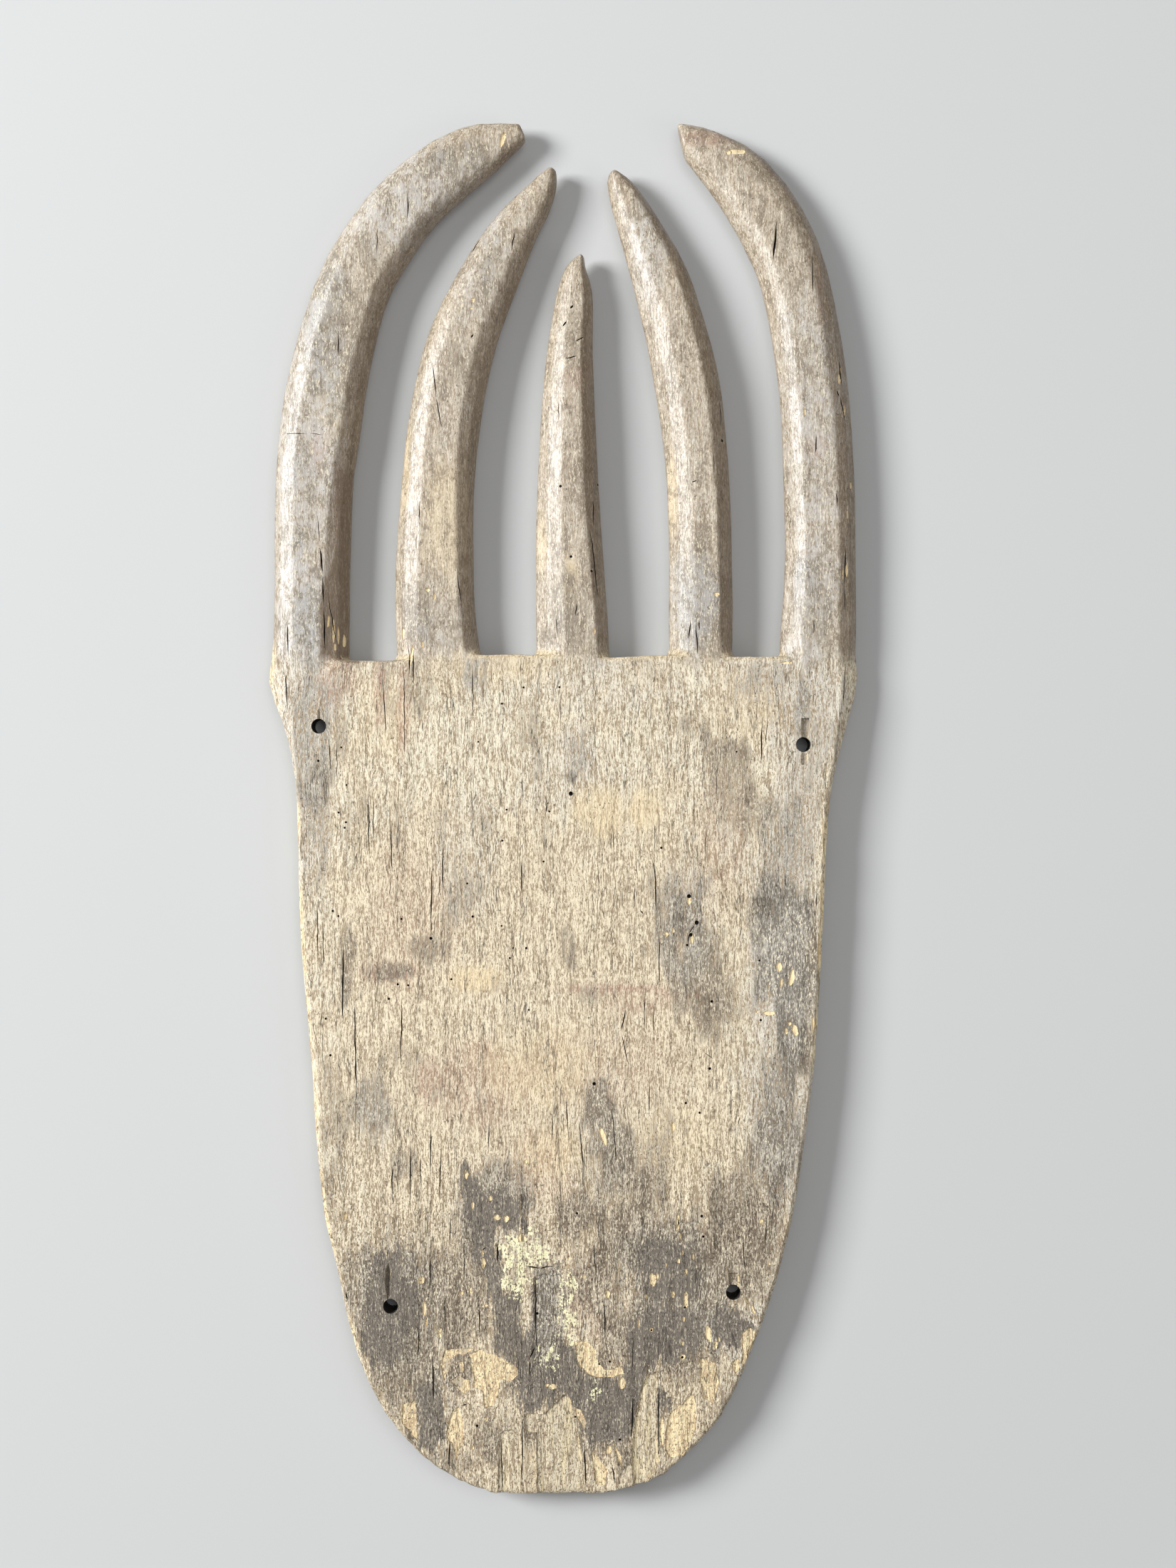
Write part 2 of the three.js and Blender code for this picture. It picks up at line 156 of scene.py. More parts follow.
# Chips that show fresh wood, as x, y, width, length and, where it has one, lean
CHIPS = [
    (159.5, -118, 4.2, 7), (168.5, -126, 4.2, 13, 0.15), (161, -130, 1.8, 8), (76, -94, 3, 4),
    (81, -91, 1.8, 4), (93, -69, 3.2, 6, 0.1), (95, -97.5, 2.8, 7), (151.5, -152, 9, 3.2),
    (143, -151, 2, 2), (164.5, -165.5, 2.4, 5), (171, -164.5, 4.5, 9, -0.2), (167, -160, 3, 3),
    (29.5, -243, 4.4, 13, -0.3), (81, -236, 2.4, 7.5), (-27, -262, 3.4, 4), (-72, -271, 3.6, 7.5),
    (-67, -294, 2.4, 5), (-54, -289, 2.2, 4.5), (-49, -303, 5, 4), (-42, -304, 4, 5), (-161, -302, 2.4, 7),
    (-59, -337, 3, 8.5), (-59.5, -329, 1.8, 4), (-105, -349.5, 5, 5.5), (-102.5, -371, 2.6, 11),
    (-101, -380, 1.6, 8), (-107, -396, 2, 9), (136, -365, 2.4, 7, -0.5), (140, -371, 2, 7, -0.4),
    (84.5, -306.5, 2.8, 13), (86.5, -317, 1.4, 4), (66, -349, 5, 10), (69.5, -346.5, 1.6, 5),
    (32.5, -359.5, 4, 5.5), (81, -360, 2.6, 5), (61, -361.5, 1.5, 4), (90.5, -364, 3.4, 12),
    (90.5, -343, 2, 6), (85, -335, 2.6, 4), (76, -338, 1.2, 3), (88, -329, 1.4, 4), (96, -332, 1.6, 5),
    (89, -378, 1.8, 4), (65, -386, 3, 3), (88, -406, 4.4, 3.6), (88, -396, 2, 3), (15.5, -347, 3, 2.4),
    (4, -333, 1.8, 2), (3, -339, 1.4, 3), (43.5, -425.5, 4.4, 9.5), (33.5, -475, 4.4, 7, 0.1),
    (-8, -428, 6.5, 4.6), (-12, -427, 3, 2), (146, -306.5, 3.4, 4), (152, -337, 1.8, 2.6),
    (-91, -388, 3.4, 7), (-68.5, -357, 3, 5), (-75, -359, 2, 3), (-57, -368, 3.4, 1.8), (-57, -452, 2.4, 4),
    (-67, -473, 2.6, 2.6), (73, -460, 3.4, 20), (56, -381, 1.2, 8), (107, -389, 5, 12, -0.15),
    (112.5, -397, 3, 6), (115, -393, 1.8, 4), (-31, -318, 5, 7), (192, -22, 1.6, 26), (190.5, -62, 1.6, 30),
    (188.5, -104, 1.4, 22), (184.5, -160, 2, 12), (129, -350, 2.6, 10), (-127.8, -347, 1.4, 12),
    (181, 58, 1.8, 10), (180, 37, 1.8, 7), (-118.5, 128, 2.2, 9), (-112, 112, 2.2, 14, 0.1),
    (-104, 120, 1.6, 5), (-170, 131, 1.8, 17), (-166.5, 127, 1.6, 13), (-173.5, 137, 1.4, 10, 0.1),
    (-162.5, 123, 2.2, 10), (-169, 118, 1.8, 6), (129, 485, 13, 4.6, 0.1), (122, 484, 4, 3),
    (-45, 494.5, 4.2, 10, 0.3), (-66.5, 374, 3, 4), (-68, 368, 2, 2), (165, 106.5, 9, 1.8),
    (209.5, 175, 1.8, 9), (206.5, 172, 1.2, 8), (204.5, 319, 2.2, 12, 0.1), (208, 293, 1.8, 8),
    (178, 291, 1.8, 6), (213, 238, 1.6, 6), (210, 216, 1.4, 7), (113, 157, 4, 3.4), (-100, 160, 3, 3),
    (-95, 155, 1.8, 5), (23, 130, 1.6, 5),
]

# Outlines of larger patches of fresh wood, where a thin layer is gone
SHALLOW_PATCHES = [
    [(-70, -404), (-62, -400), (-50, -406), (-37, -411), (-33, -419), (-38, -423), (-47, -423), (-48, -432),
     (-52, -442), (-58, -442), (-60, -430), (-67, -430), (-66, -421), (-69, -412)],
    [(-88, -402), (-78, -399), (-66, -399), (-70, -403), (-78, -404), (-83, -408), (-84, -416), (-88, -424),
     (-91, -412)],
    [(-84, -424), (-77, -420), (-70, -423), (-68, -430), (-73, -433), (-80, -428)],
    [(-79, -409), (-74, -408), (-73, -416), (-77, -418)],
    [(94, -433), (98, -440), (98, -455), (95, -466), (89, -478), (78, -481), (75, -475), (76, -455),
     (80, -446), (88, -440)],
    [(101, -408), (112, -410), (115, -425), (110, -440), (104, -436), (101, -422)],
    [(132, -389), (138, -385), (142, -388), (138, -402), (131, -416), (132, -402)],
    [(124, -410), (130, -407), (129, -415), (127, -421)],
    [(21, -474), (26, -481), (33, -490), (30, -500), (24, -500), (22, -488)],
    [(37, -468), (42, -477), (44, -488), (40, -482)],
    [(8, -445), (13, -445), (17, -455), (15, -459), (11, -452)],
    [(8, -395), (18, -394), (24, -402), (26, -410), (30, -415), (43, -413), (45, -418), (36, -420),
     (26, -420), (17, -418), (10, -410)],
    [(-119, -441), (-110, -438), (-108, -450), (-108, -469), (-113, -463), (-119, -454)],
    [(-82, -445), (-77, -443), (-74, -452), (-74, -470), (-79, -481), (-83, -470), (-87, -464),
     (-84, -452)],
]
DEEP_PATCHES = [
    [(-29, -448), (-14, -448.5), (-8, -442), (0, -434), (5, -437), (8, -450), (12, -468), (15, -490),
     (17, -516), (-20, -516), (-20, -462), (-29, -460)],
    [(-48, -463), (-38, -460), (-32, -465), (-31.5, -516), (-49, -516)],
    [(62, -419), (68, -416), (69, -430), (68.5, -450), (69.5, -472), (71, -482), (62, -500), (52, -505),
     (50, -480), (53, -455), (55, -440), (58, -428)],
]

# Outline of the shallow panel sunk at the lower end
PANEL = [(-22, -346), (-3, -344.5), (-3, -372), (-4, -398), (-20, -399), (-22, -372)]

# Outlines of crusty pale deposits
CRUSTS = [
    [(-4, -344), (4, -344), (10, -352), (9, -358), (10, -370), (9, -385), (5, -393), (1, -390), (-2, -378),
     (-2, -362), (0, -355)],
    [(-45, -322), (-30, -313), (-22, -310), (-20, -322), (-8, -330), (-4, -338), (-18, -338), (-27, -343),
     (-24, -352), (-31, -361), (-46, -358), (-46, -345), (-38, -340), (-47, -330)],
    [(17, -430), (24, -427), (30, -431), (28, -436), (21, -439), (17, -435)],
    [(-20, -404), (-8, -398), (-4, -404), (-8, -413), (-17, -412)],
]

# Outlines of smooth charcoal grey patina
CHARCOAL = [
    [(-137, -328), (-121, -328), (-118, -345), (-107, -352), (-105, -365), (-107, -385), (-118, -397),
     (-125, -410), (-140, -410), (-148, -395), (-145, -370), (-141, -345)],
    [(-66, -300), (-48, -305), (-50, -320), (-47, -345), (-48, -361), (-32, -362), (-30, -380), (-22, -392),
     (-21, -402), (-25, -410), (-36, -411), (-49, -402), (-52, -380), (-55, -350), (-68, -330)],
    [(-30, -410), (-22, -414), (-4, -412), (0, -395), (6, -396), (10, -412), (18, -421), (40, -422),
     (50, -405), (46, -388), (60, -372), (78, -366), (100, -378), (102, -404), (78, -410), (62, -416),
     (57, -428), (52, -440), (49, -466), (40, -466), (20, -468), (14, -450), (7, -434), (0, -431),
     (-10, -440), (-16, -446), (-31, -446), (-36, -425)],
    [(56, -326), (66, -318), (84, -322), (98, -330), (104, -345), (98, -362), (78, -368), (62, -360)],
    [(-72, -265), (-60, -285), (-45, -284), (-30, -292), (-28, -312), (-70, -312), (-75, -285)],
    [(112, -372), (128, -370), (140, -384), (132, -396), (120, -400), (112, -390)],
    [(-106, -427), (-88, -427), (-88, -444), (-92, -470), (-106, -478), (-107, -450)],
    [(-3, -408), (4, -408), (8, -430), (-2, -432), (-10, -436), (-14, -424)],
    [(72, -436), (82, -436), (78, -446), (73, -452)],
]

# Soft stains, as x, y, width, length and strength
STAINS = [
    (86, -66, 48, 60, 0.5), (90, -96, 52, 66, 0.7), (98, -132, 46, 50, 0.75), (112, -150, 40, 40, 0.55),
    (128, -140, 30, 60, 0.35), (168, -28, 44, 90, 0.5), (158, -80, 46, 60, 1), (168, -118, 40, 90, 1.8),
    (172, -172, 26, 70, 1), (158, -214, 44, 80, 0.6), (163, -255, 36, 70, 0.7), (28, -222, 26, 44, 0.95),
    (36, -250, 34, 50, 0.9), (44, -272, 60, 40, 0.5), (10, 40, 18, 32, 0.5), (6, 22, 10, 10, 0.8),
    (20, 56, 14, 16, 0.4), (124, 16, 52, 66, 0.55), (118, 42, 46, 24, 0.55), (92, 60, 34, 24, 0.5),
    (-26, 62, 30, 40, 0.45), (-20, 30, 18, 30, 0.4), (146, -4, 24, 50, 0.45), (150, 78, 60, 60, 0.35),
    (-66, 98, 22, 34, 0.55), (-108, 84, 26, 44, 0.45), (-130, 80, 16, 66, 0.35), (-182, 60, 46, 100, 0.5),
    (-182, -10, 26, 90, 0.5), (-154, -10, 20, 60, 0.4), (-122, -20, 26, 50, 0.3), (-86, -14, 16, 60, 0.3),
    (-60, -8, 18, 26, 0.45), (-72, -60, 24, 40, 0.5), (-84, -84, 14, 30, 0.45), (-98, -104, 30, 24, 0.55),
    (-160, -118, 14, 60, 0.7), (-134, -120, 40, 16, 0.4), (5, -105, 16, 44, 0.6), (-126, -122, 34, 14, 0.7),
    (-48, -128, 12, 26, 0.5), (-12, -28, 16, 40, 0.35), (-28, -46, 10, 24, 0.3), (46, -66, 40, 26, 0.35),
    (20, -138, 30, 16, 0.4), (-120, -182, 34, 26, 0.4), (-140, -222, 30, 56, 0.6),
    (-170, -230, 26, 110, 0.45), (-98, -200, 22, 40, 0.3), (70, -240, 26, 50, 0.45),
    (62, -280, 26, 40, 0.45), (-118, -262, 20, 24, 0.6), (-50, -290, 50, 40, 0.75),
    (-66, -315, 26, 60, 0.7), (-40, -268, 40, 26, 0.35), (12, -300, 40, 36, 0.6), (52, -312, 50, 50, 0.6),
    (28, -350, 40, 60, 0.5), (84, -330, 70, 50, 0.85), (86, -360, 60, 60, 0.75), (122, -330, 60, 90, 0.6),
    (130, -285, 50, 50, 0.5), (146, -320, 30, 60, 0.5), (-124, -366, 50, 84, 0.75),
    (-80, -366, 56, 70, 0.65), (-96, -345, 30, 40, 0.5), (-150, -350, 30, 60, 0.35), (-13, -374, 22, 66, 1),
    (0, -420, 80, 40, 0.9), (-77, -414, 22, 34, 1.3), (66, -390, 84, 50, 0.95), (32, -446, 40, 50, 0.95),
    (60, -424, 20, 60, 0.6), (88, -416, 34, 26, 0.4), (-104, -420, 30, 60, 0.6), (-128, -420, 36, 50, 0.45),
    (-52, -470, 26, 40, 0.5), (-24, -458, 14, 40, 0.6), (-86, -484, 40, 20, 0.4), (126, -446, 30, 50, 0.3),
    (70, -450, 12, 30, 0.5), (44, -480, 14, 30, 0.6), (14, -475, 8, 40, 0.5), (183, 50, 36, 90, 0.4),
    (-113, -452, 14, 40, 1), (-110, 133, 14, 12, 1), (-12, 125, 14, 16, 0.7), (98, 135, 34, 44, 0.5),
    (-195, 196, 12, 22, 0.9), (-192, 235, 20, 60, 0.4), (-168, 345, 44, 110, 0.9),
    (-160, 380, 30, 40, 0.35), (-140, 405, 22, 40, 0.5), (176, 175, 12, 20, 0.9), (96, 178, 30, 24, 0.4),
    (-75, 330, 26, 40, 0.5), (-52, 400, 24, 50, 0.5), (60, 400, 26, 60, 0.25), (-110, 155, 24, 26, 0.6),
    (5, 345, 22, 40, 0.5), (160, 430, 24, 50, 0.35), (-186, 140, 30, 44, 0.8), (-107, 138, 22, 36, 0.9),
    (5, 145, 26, 56, 0.9), (104, 152, 44, 76, 0.8), (184, 145, 28, 64, 0.7), (-75, 482, 46, 20, 0.8),
    (196, 360, 18, 120, 0.8), (-62, 255, 16, 100, 0.8), (22, 250, 12, 130, 0.8), (-200, 260, 16, 70, 0.5),
    (128, 270, 14, 90, 0.6), (150, 470, 40, 22, 0.7),
]

# Bluish-grey patches, as x, y, width, length and strength. On the horns they also place the painted bluish
# sheen.
COOL_PATCHES = [
    (-190, 70, 50, 130, 0.9), (-188, -10, 30, 100, 0.7), (180, 70, 60, 110, 0.8), (170, -20, 44, 100, 0.8),
    (162, -110, 50, 150, 0.9), (160, -220, 50, 140, 0.7), (150, 90, 90, 50, 0.5), (90, -86, 44, 90, 0.6),
    (30, -240, 50, 90, 0.3), (-66, 98, 26, 40, 0.7), (-70, -40, 50, 90, 0.4), (10, 40, 30, 50, 0.6),
    (-55, -300, 60, 70, 0.4), (-124, -366, 60, 90, 0.5), (75, -350, 80, 80, 0.4), (124, -385, 40, 40, 1),
    (-96, -450, 30, 60, 0.6), (-13, -376, 26, 80, 0.7), (-140, -225, 30, 60, 0.5), (30, 90, 120, 40, 0.4),
    (-5, 20, 60, 60, 0.3), (-192, 150, 40, 110, 0.9), (188, 165, 40, 70, 0.5), (-190, 290, 60, 200, 0.7),
    (-180, 400, 40, 90, 0.5), (-110, 450, 130, 80, 0.7), (96, 150, 36, 70, 0.7), (64, 420, 30, 90, 0.6),
    (186, 280, 50, 230, 0.5), (-60, 400, 40, 80, 0.4), (-90, 130, 40, 40, 0.4),
]

# Reddish and yellowish patches, as x, y, width, length and strength
RED_PATCHES = [
    (-128, -122, 40, 16, 0.7), (-98, -204, 26, 34, 0.6), (38, -134, 70, 8, 0.9), (88, -139, 34, 7, 0.8),
    (54, -146, 47, 18, 0.4), (116, -25, 47, 84, 0.3), (-168, 96, 32, 42, 0.5), (-135, 85, 10, 60, 0.8),
    (-118, 70, 10, 60, 0.8), (-60, -205, 66, 66, 0.45), (-112, -80, 70, 120, 0.25),
    (24, -190, 120, 60, 0.22), (20, -360, 40, 60, 0.4), (-20, -265, 50, 60, 0.4), (130, -320, 60, 30, 0.4),
    (186, 265, 16, 20, 0.4), (-180, 262, 12, 30, 0.5), (-166, 220, 8, 70, 0.7), (105, 495, 50, 10, 0.7),
    (192, 390, 10, 70, 0.6), (12, 318, 20, 20, 0.5),
]
YELLOW_PATCHES = [
    (26, -2, 36, 37, 0.8), (60, -2, 26, 32, 0.7), (-63, -127, 40, 20, 0.9), (-16, -193, 84, 63, 0.4),
    (137, 70, 58, 53, 0.4), (-47, 106, 79, 26, 0.5), (-132, 64, 42, 58, 0.35), (-10, -483, 47, 47, 0.7),
    (84, -246, 63, 53, 0.3), (-8, -255, 50, 40, 0.5), (-85, 215, 40, 90, 0.55), (5, 165, 12, 40, 0.7),
    (80, 230, 10, 60, 0.7), (-16, 195, 8, 50, 0.6), (-118, 260, 8, 90, 0.6), (-165, 300, 30, 60, 0.4),
    (35, -345, 30, 30, 0.5),
]

# Outline of the painted shade on the inner side of the outer left horn, at its foot
PAINTED_FOOT_SHADE = [
    (-180, 111), (-180, 148), (-177.5, 166), (-171, 178), (-168, 200), (-168, 250), (-150, 250),
    (-150, 104), (-165, 108),
]

# Stretches of the rim where the wood is rubbed bare, as the side, the ends in y, the width and how unbroken
RUBBED_RIMS = [
    (-1, 118, 78, 3.4, 0.7), (-1, 0, -60, 2.6, 0.4), (-1, -60, -330, 3.4, 0.75), (-1, -380, -400, 3.5, 0.9),
    (1, 5, -130, 2.6, 0.6), (1, -130, -200, 1.8, 0.4), (1, -330, -420, 2, 0.3),
]


# Layers of noise in the grain, as the width and length of a cell, the detail and the roughness
GRAIN_LAYERS = {
    "Fine": (0.85, 2.8, 2.0, 0.7),
    "Strand": (1.25, 11, 3.0, 0.66),
    "Streaks": (3.4, 42, 3.0, 0.6),
    "Broad": (7, 90, 2.0, 0.6),
    "Clouds": (17, 26, 5.0, 0.64),
    "Mottles": (5.5, 8.5, 4.0, 0.68),
    "Specks": (1.5, 2.0, 1.0, 0.6),
    "Gaps": (2.6, 34, 2.0, 0.6),
}


def length_property(name, description, default, **limits):
    """A setting for a length, in metres"""
    return FloatProperty(name=name, description=description, default=default, unit="LENGTH", **limits)


def share_property(name, description, default, lowest=0.0):
    """A setting for a share of one"""
    return FloatProperty(
        name=name, description=description, default=default, min=lowest, max=1.0, subtype="FACTOR",
    )


def power_property(name, description, default):
    """A setting for a light's power, in watts"""
    return FloatProperty(name=name, description=description, default=default, unit="POWER")


def colour_property(name, description, default):
    """A setting for a colour"""
    return FloatVectorProperty(
        name=name, description=description, default=default, min=0, max=1, subtype="COLOR",
    )


class MaskCarving(bpy.types.PropertyGroup):
    """Sizes of the carved surface"""

    cell: length_property("Cell", "Width of a mesh cell across the grain", 1.42 * MM, min=0.5 * MM)
    stretch: FloatProperty(
        name="Stretch", description="Length of a mesh cell along the grain, in cell widths",
        default=3.0, min=1.0,
    )
    arris_softening: IntProperty(
        name="Arris softening", description="Smoothing steps that round the horns' ridges",
        default=9, min=0,
    )
    hewing: length_property("Hewing", "Height of the broad waves that the adze left", 0.45 * MM)
    knife_cuts: length_property("Knife cuts", "Depth of the knife's long scoops on the horns", 0.32 * MM)
    adze_cuts: length_property("Adze cuts", "Depth of the scoops on the hidden side", 1.5 * MM)
    grain_relief: length_property("Grain relief", "Height of the ridges between the fibres", 0.24 * MM)
    rim_wear: length_property("Rim wear", "Depth of the wear along the rubbed rims", 1.6 * MM)
    hidden_keep: share_property(
        "Hidden share", "Share of the triangles kept when the hidden side is thinned", 0.58, lowest=0.1,
    )


class MaskBoring(bpy.types.PropertyGroup):
    """Sizes of the holes, the chips and the flakes"""

    cord_hole: length_property("Cord hole", "Diameter of the cord holes", 11 * MM)
    hole_sides: IntProperty(name="Hole sides", description="Sides of a cord hole", default=48, min=12)
    worm_depth: length_property("Worm hole depth", "Depth of the worm holes", 5 * MM)
    chip_depth: length_property("Chip depth", "Depth of the chips and the shallow patches", 0.7 * MM)
    flake_depth: length_property("Flake depth", "Depth of the flaked layer at the lower end", 1.3 * MM)


class MaskFinish(bpy.types.PropertyGroup):
    """Colours and gloss of the wood"""

    pale_warm: colour_property(
        "Warm pale fibre", "Colour of the raised fibres in the middle of the board", (0.81, 0.69, 0.495),
    )
    pale_cool: colour_property(
        "Cool pale fibre", "Colour of the raised fibres elsewhere", (0.80, 0.715, 0.55),
    )
    pale_grey: colour_property(
        "Pale grey fibre", "Colour of the bleached bluish-grey fibres", (0.60, 0.565, 0.515),
    )
    dull: colour_property("Dull fibre", "Colour of the wood between the fibres", (0.335, 0.25, 0.16))
    polished_pale: colour_property(
        "Polished pale fibre", "Colour of the horns' raised fibres", (0.62, 0.555, 0.455),
    )
    polished_tan: colour_property(
        "Polished tan fibre", "Colour of the browner patches of the horns", (0.49, 0.395, 0.285),
    )
    # Painted sheen: a pale bluish colour that stands in for the horns' bluish sheen
    painted_bluish_sheen: colour_property("Painted bluish sheen", "Pale bluish colour painted on the horns as their sheen", (0.49, 0.47, 0.45))
    polished_dull: colour_property(
        "Polished dull fibre", "Colour between the horns' fibres", (0.26, 0.185, 0.112),
    )
    patina_pale: colour_property("Pale patina", "Colour of the rubbed brown patina", (0.45, 0.375, 0.275))
    patina_dark: colour_property("Dark patina", "Colour of the thick brown patina", (0.16, 0.12, 0.082))
    grey_pale: colour_property(
        "Pale grey patina", "Colour of the rubbed bluish-grey patina", (0.44, 0.405, 0.35),
    )
    grey_dark: colour_property(
        "Dark grey patina", "Colour of the thick bluish-grey patina", (0.15, 0.13, 0.102),
    )
    charcoal: colour_property("Charcoal", "Colour of the smooth charcoal patina", (0.157, 0.131, 0.103))
    fresh: colour_property("Fresh wood", "Colour of chipped wood", (0.88, 0.72, 0.44))
    fresh_dull: colour_property(
        "Dull fresh wood", "Colour between the fibres of chipped wood", (0.55, 0.40, 0.235),
    )
    flaked: colour_property("Flaked wood", "Colour of wood that flaked long ago", (0.70, 0.605, 0.435))
    crust: colour_property("Crust", "Colour of the crusty deposits", (0.88, 0.81, 0.50))
    reddish: colour_property("Reddish tint", "Colour of the reddish patches", (0.36, 0.215, 0.155))
    yellowish: colour_property("Yellowish tint", "Colour of the yellowish patches", (0.78, 0.6, 0.35))
    # The horns' dark brown mottles, and the painted shade on their sides and foot
    brown_and_side_shade: colour_property(
        "Brown and painted side shade", "Colour of the horns' dark brown mottles and of the shade painted on their sides and foot", (0.165, 0.112, 0.067),
    )
    # Partly soot and dirt, partly painted shade in the splits, pits and holes
    soot_and_shade: colour_property("Soot and shade", "Near-black of splits, worm holes and bored walls, partly dirt and partly painted shade", (0.035, 0.026, 0.018))
    dry_roughness: share_property("Dry roughness", "Roughness of the dry board", 0.78)
    polished_roughness: share_property("Polished roughness", "Roughness of the handled horns", 0.42)
    handling_gloss: share_property(
        "Handling gloss", "Strength of the gloss that hands left on the horns", 0.34,
    )


class MaskStage(bpy.types.PropertyGroup):
    """The floor, the lights and the camera"""

    camera_x: length_property("Camera x", "Camera place to the right", 0.0183)
    camera_y: length_property("Camera y", "Camera place along the board", 0.017)
    camera_height: length_property("Camera height", "Height of the camera over the floor", 1.665)
    view_height: length_property(
        "View height", "Length of the picture's long side at the middle of the wood", 1.166,
    )
    middle_height: length_property("Middle height", "Height at which that length is measured", 0.015)
    floor_size: length_property("Floor size", "Side of the floor", 10.0)
    floor_colour: colour_property("Floor colour", "Colour of the floor", (0.53, 0.525, 0.515))
    key_power: power_property("Key power", "Power of the light at the left", 450.0)
    top_power: power_property("Top power", "Power of the light overhead", 22.0)
    fill_power: power_property("Fill power", "Power of the light at the right", 9.0)
    room_light: FloatProperty(
        name="Room light", description="Strength of the light all round", default=0.265, min=0.0,
    )


def deselect_all():
    if bpy.context.object and bpy.context.object.mode != "OBJECT":
        bpy.ops.object.mode_set(mode="OBJECT")
    bpy.ops.object.select_all(action="DESELECT")


def work_on(*objects):
    deselect_all()
    for each in objects:
        each.select_set(True)
    bpy.context.view_layer.objects.active = objects[0]


def link_object(name, data):
    """A new object in the scene that shows the data"""
    made = bpy.data.objects.new(name, data)
    bpy.context.collection.objects.link(made)
    return made


def apply_modifier(piece, kind, **settings):
    work_on(piece)
    modifier = piece.modifiers.new(kind.title(), kind)
    for name, value in settings.items():
        setattr(modifier, name, value)
    bpy.ops.object.modifier_apply(modifier=modifier.name)


def cut_out(piece, cutter):
    """Cuts the cutter out of the piece, and deletes the cutter"""
    apply_modifier(piece, "BOOLEAN", operation="DIFFERENCE", object=cutter, solver="MANIFOLD")
    bpy.data.objects.remove(cutter)


def read_points(piece):
    """Places and normals of a piece's vertices, the places in millimetres"""
    count = len(piece.data.vertices)
    places = np.empty(count * 3)
    normals = np.empty(count * 3)
    piece.data.vertices.foreach_get("co", places)
    piece.data.vertices.foreach_get("normal", normals)
    return places.reshape(-1, 3) / MM, normals.reshape(-1, 3)


def write_points(piece, places):
    """Moves a piece's vertices to places in millimetres"""
    piece.data.vertices.foreach_set("co", (places * MM).ravel())
    piece.data.update()


def smooth_between(low, high, value):
    """A share that rises smoothly from 0 at low to 1 at high"""
    share = np.clip((value - low) / (high - low), 0, 1)
    return share * share * (3 - 2 * share)


def scrambled(lattice, seed):
    """A random number from 0 to 1 for each whole-number place"""
    mixed = lattice[:, 0] * 73856093 ^ lattice[:, 1] * 19349663 ^ lattice[:, 2] * 83492791 ^ seed * 2654435
    mixed = (mixed ^ (mixed >> 15)) * 2246822519 & 0xFFFFFFFF
    mixed = (mixed ^ (mixed >> 13)) * 3266489917 & 0xFFFFFFFF
    return (mixed >> 8) / 0xFFFFFF


def soft_noise(places, cell, seed):
    """Smooth noise from -1 to 1 at places, with cells of that size in x, y and z"""
    scaled = places / np.array(cell, dtype=float)
    low = np.floor(scaled).astype(np.int64)
    share = scaled - low
    share = share * share * (3 - 2 * share)
    total = np.zeros(len(places))
    for corner in np.ndindex(2, 2, 2):
        value = 2 * scrambled(low + corner, seed) - 1
        total += value * np.prod(np.where(corner, share, 1 - share), axis=1)
    return total


def tool_cuts(places, width, length, seed):
    """Depth from 0 to 1 of overlapping shallow scoops, which meet in crisp ridges"""
    scaled = places[:, :2] / (width, length)
    low = np.floor(scaled).astype(np.int64)
    deepest = np.zeros(len(places))
    for side in range(-1, 2):
        for end in range(-1, 2):
            lattice = np.column_stack((low + (side, end), np.zeros(len(low), dtype=np.int64)))
            middle = lattice[:, :2] + np.column_stack([scrambled(lattice, seed + k) for k in range(2)])
            sink = 0.6 + 0.4 * scrambled(lattice, seed + 2)
            deepest = np.maximum(deepest, sink - 0.45 * np.sum((scaled - middle) ** 2, axis=1))
    return np.clip(2 * deepest - 1, 0, 1)


def with_next(outline):
    """Each point of a closed outline with the point after it"""
    return zip(outline, outline[1:] + outline[:1])


def reach_inside(places, outline):
    """Distance inside an outline in x and y, below zero outside it"""
    x, y = places[:, 0], places[:, 1]
    nearest = np.full(len(places), 1e9)
    inside = np.zeros(len(places), dtype=bool)
    for (x0, y0), (x1, y1) in with_next(outline):
        run_x, run_y = x1 - x0, y1 - y0
        share = np.clip(((x - x0) * run_x + (y - y0) * run_y) / (run_x * run_x + run_y * run_y), 0, 1)
        nearest = np.minimum(nearest, np.hypot(x - x0 - share * run_x, y - y0 - share * run_y))
        if y0 != y1:
            crossing = x0 + (y - y0) / (y1 - y0) * run_x
            inside ^= ((y0 > y) != (y1 > y)) & (x < crossing)
    return np.where(inside, nearest, -nearest)


def reach_inside_any(places, outlines, width, length, raggedness, seed):
    """Distance inside the nearest of several outlines, whose edges are made ragged along the grain"""
    ragged = raggedness * soft_noise(places, (width, length, 40), seed)
    ragged += 0.5 * raggedness * soft_noise(places, (width / 3, length / 3, 40), seed + 1)
    reaches = [reach_inside(places, outline) for outline in outlines]
    return np.clip(np.max(reaches, axis=0) + ragged, -12, 12)


def crust_reach(places):
    """Distance inside the nearest crust"""
    return reach_inside_any(places, CRUSTS, 7, 9, 3.0, 30)


def patches(places, rows, raggedness, seed):
    """How strongly each place lies in one of the soft patches, from 0 to 1"""
    edge = 1.35
    core = 0.55
    ragged = soft_noise(places, (7, 26, 30), seed) + 0.6 * soft_noise(places, (3.5, 12, 30), seed + 1)
    clear = np.ones(len(places))
    for x, y, width, length, strength in rows:
        across = (places[:, 0] - x) / (width / 2)
        along = (places[:, 1] - y) / (length / 2)
        reach = np.hypot(across, along) + raggedness * ragged
        clear *= 1 - strength * smooth_between(edge, core, reach)
    return 1 - clear


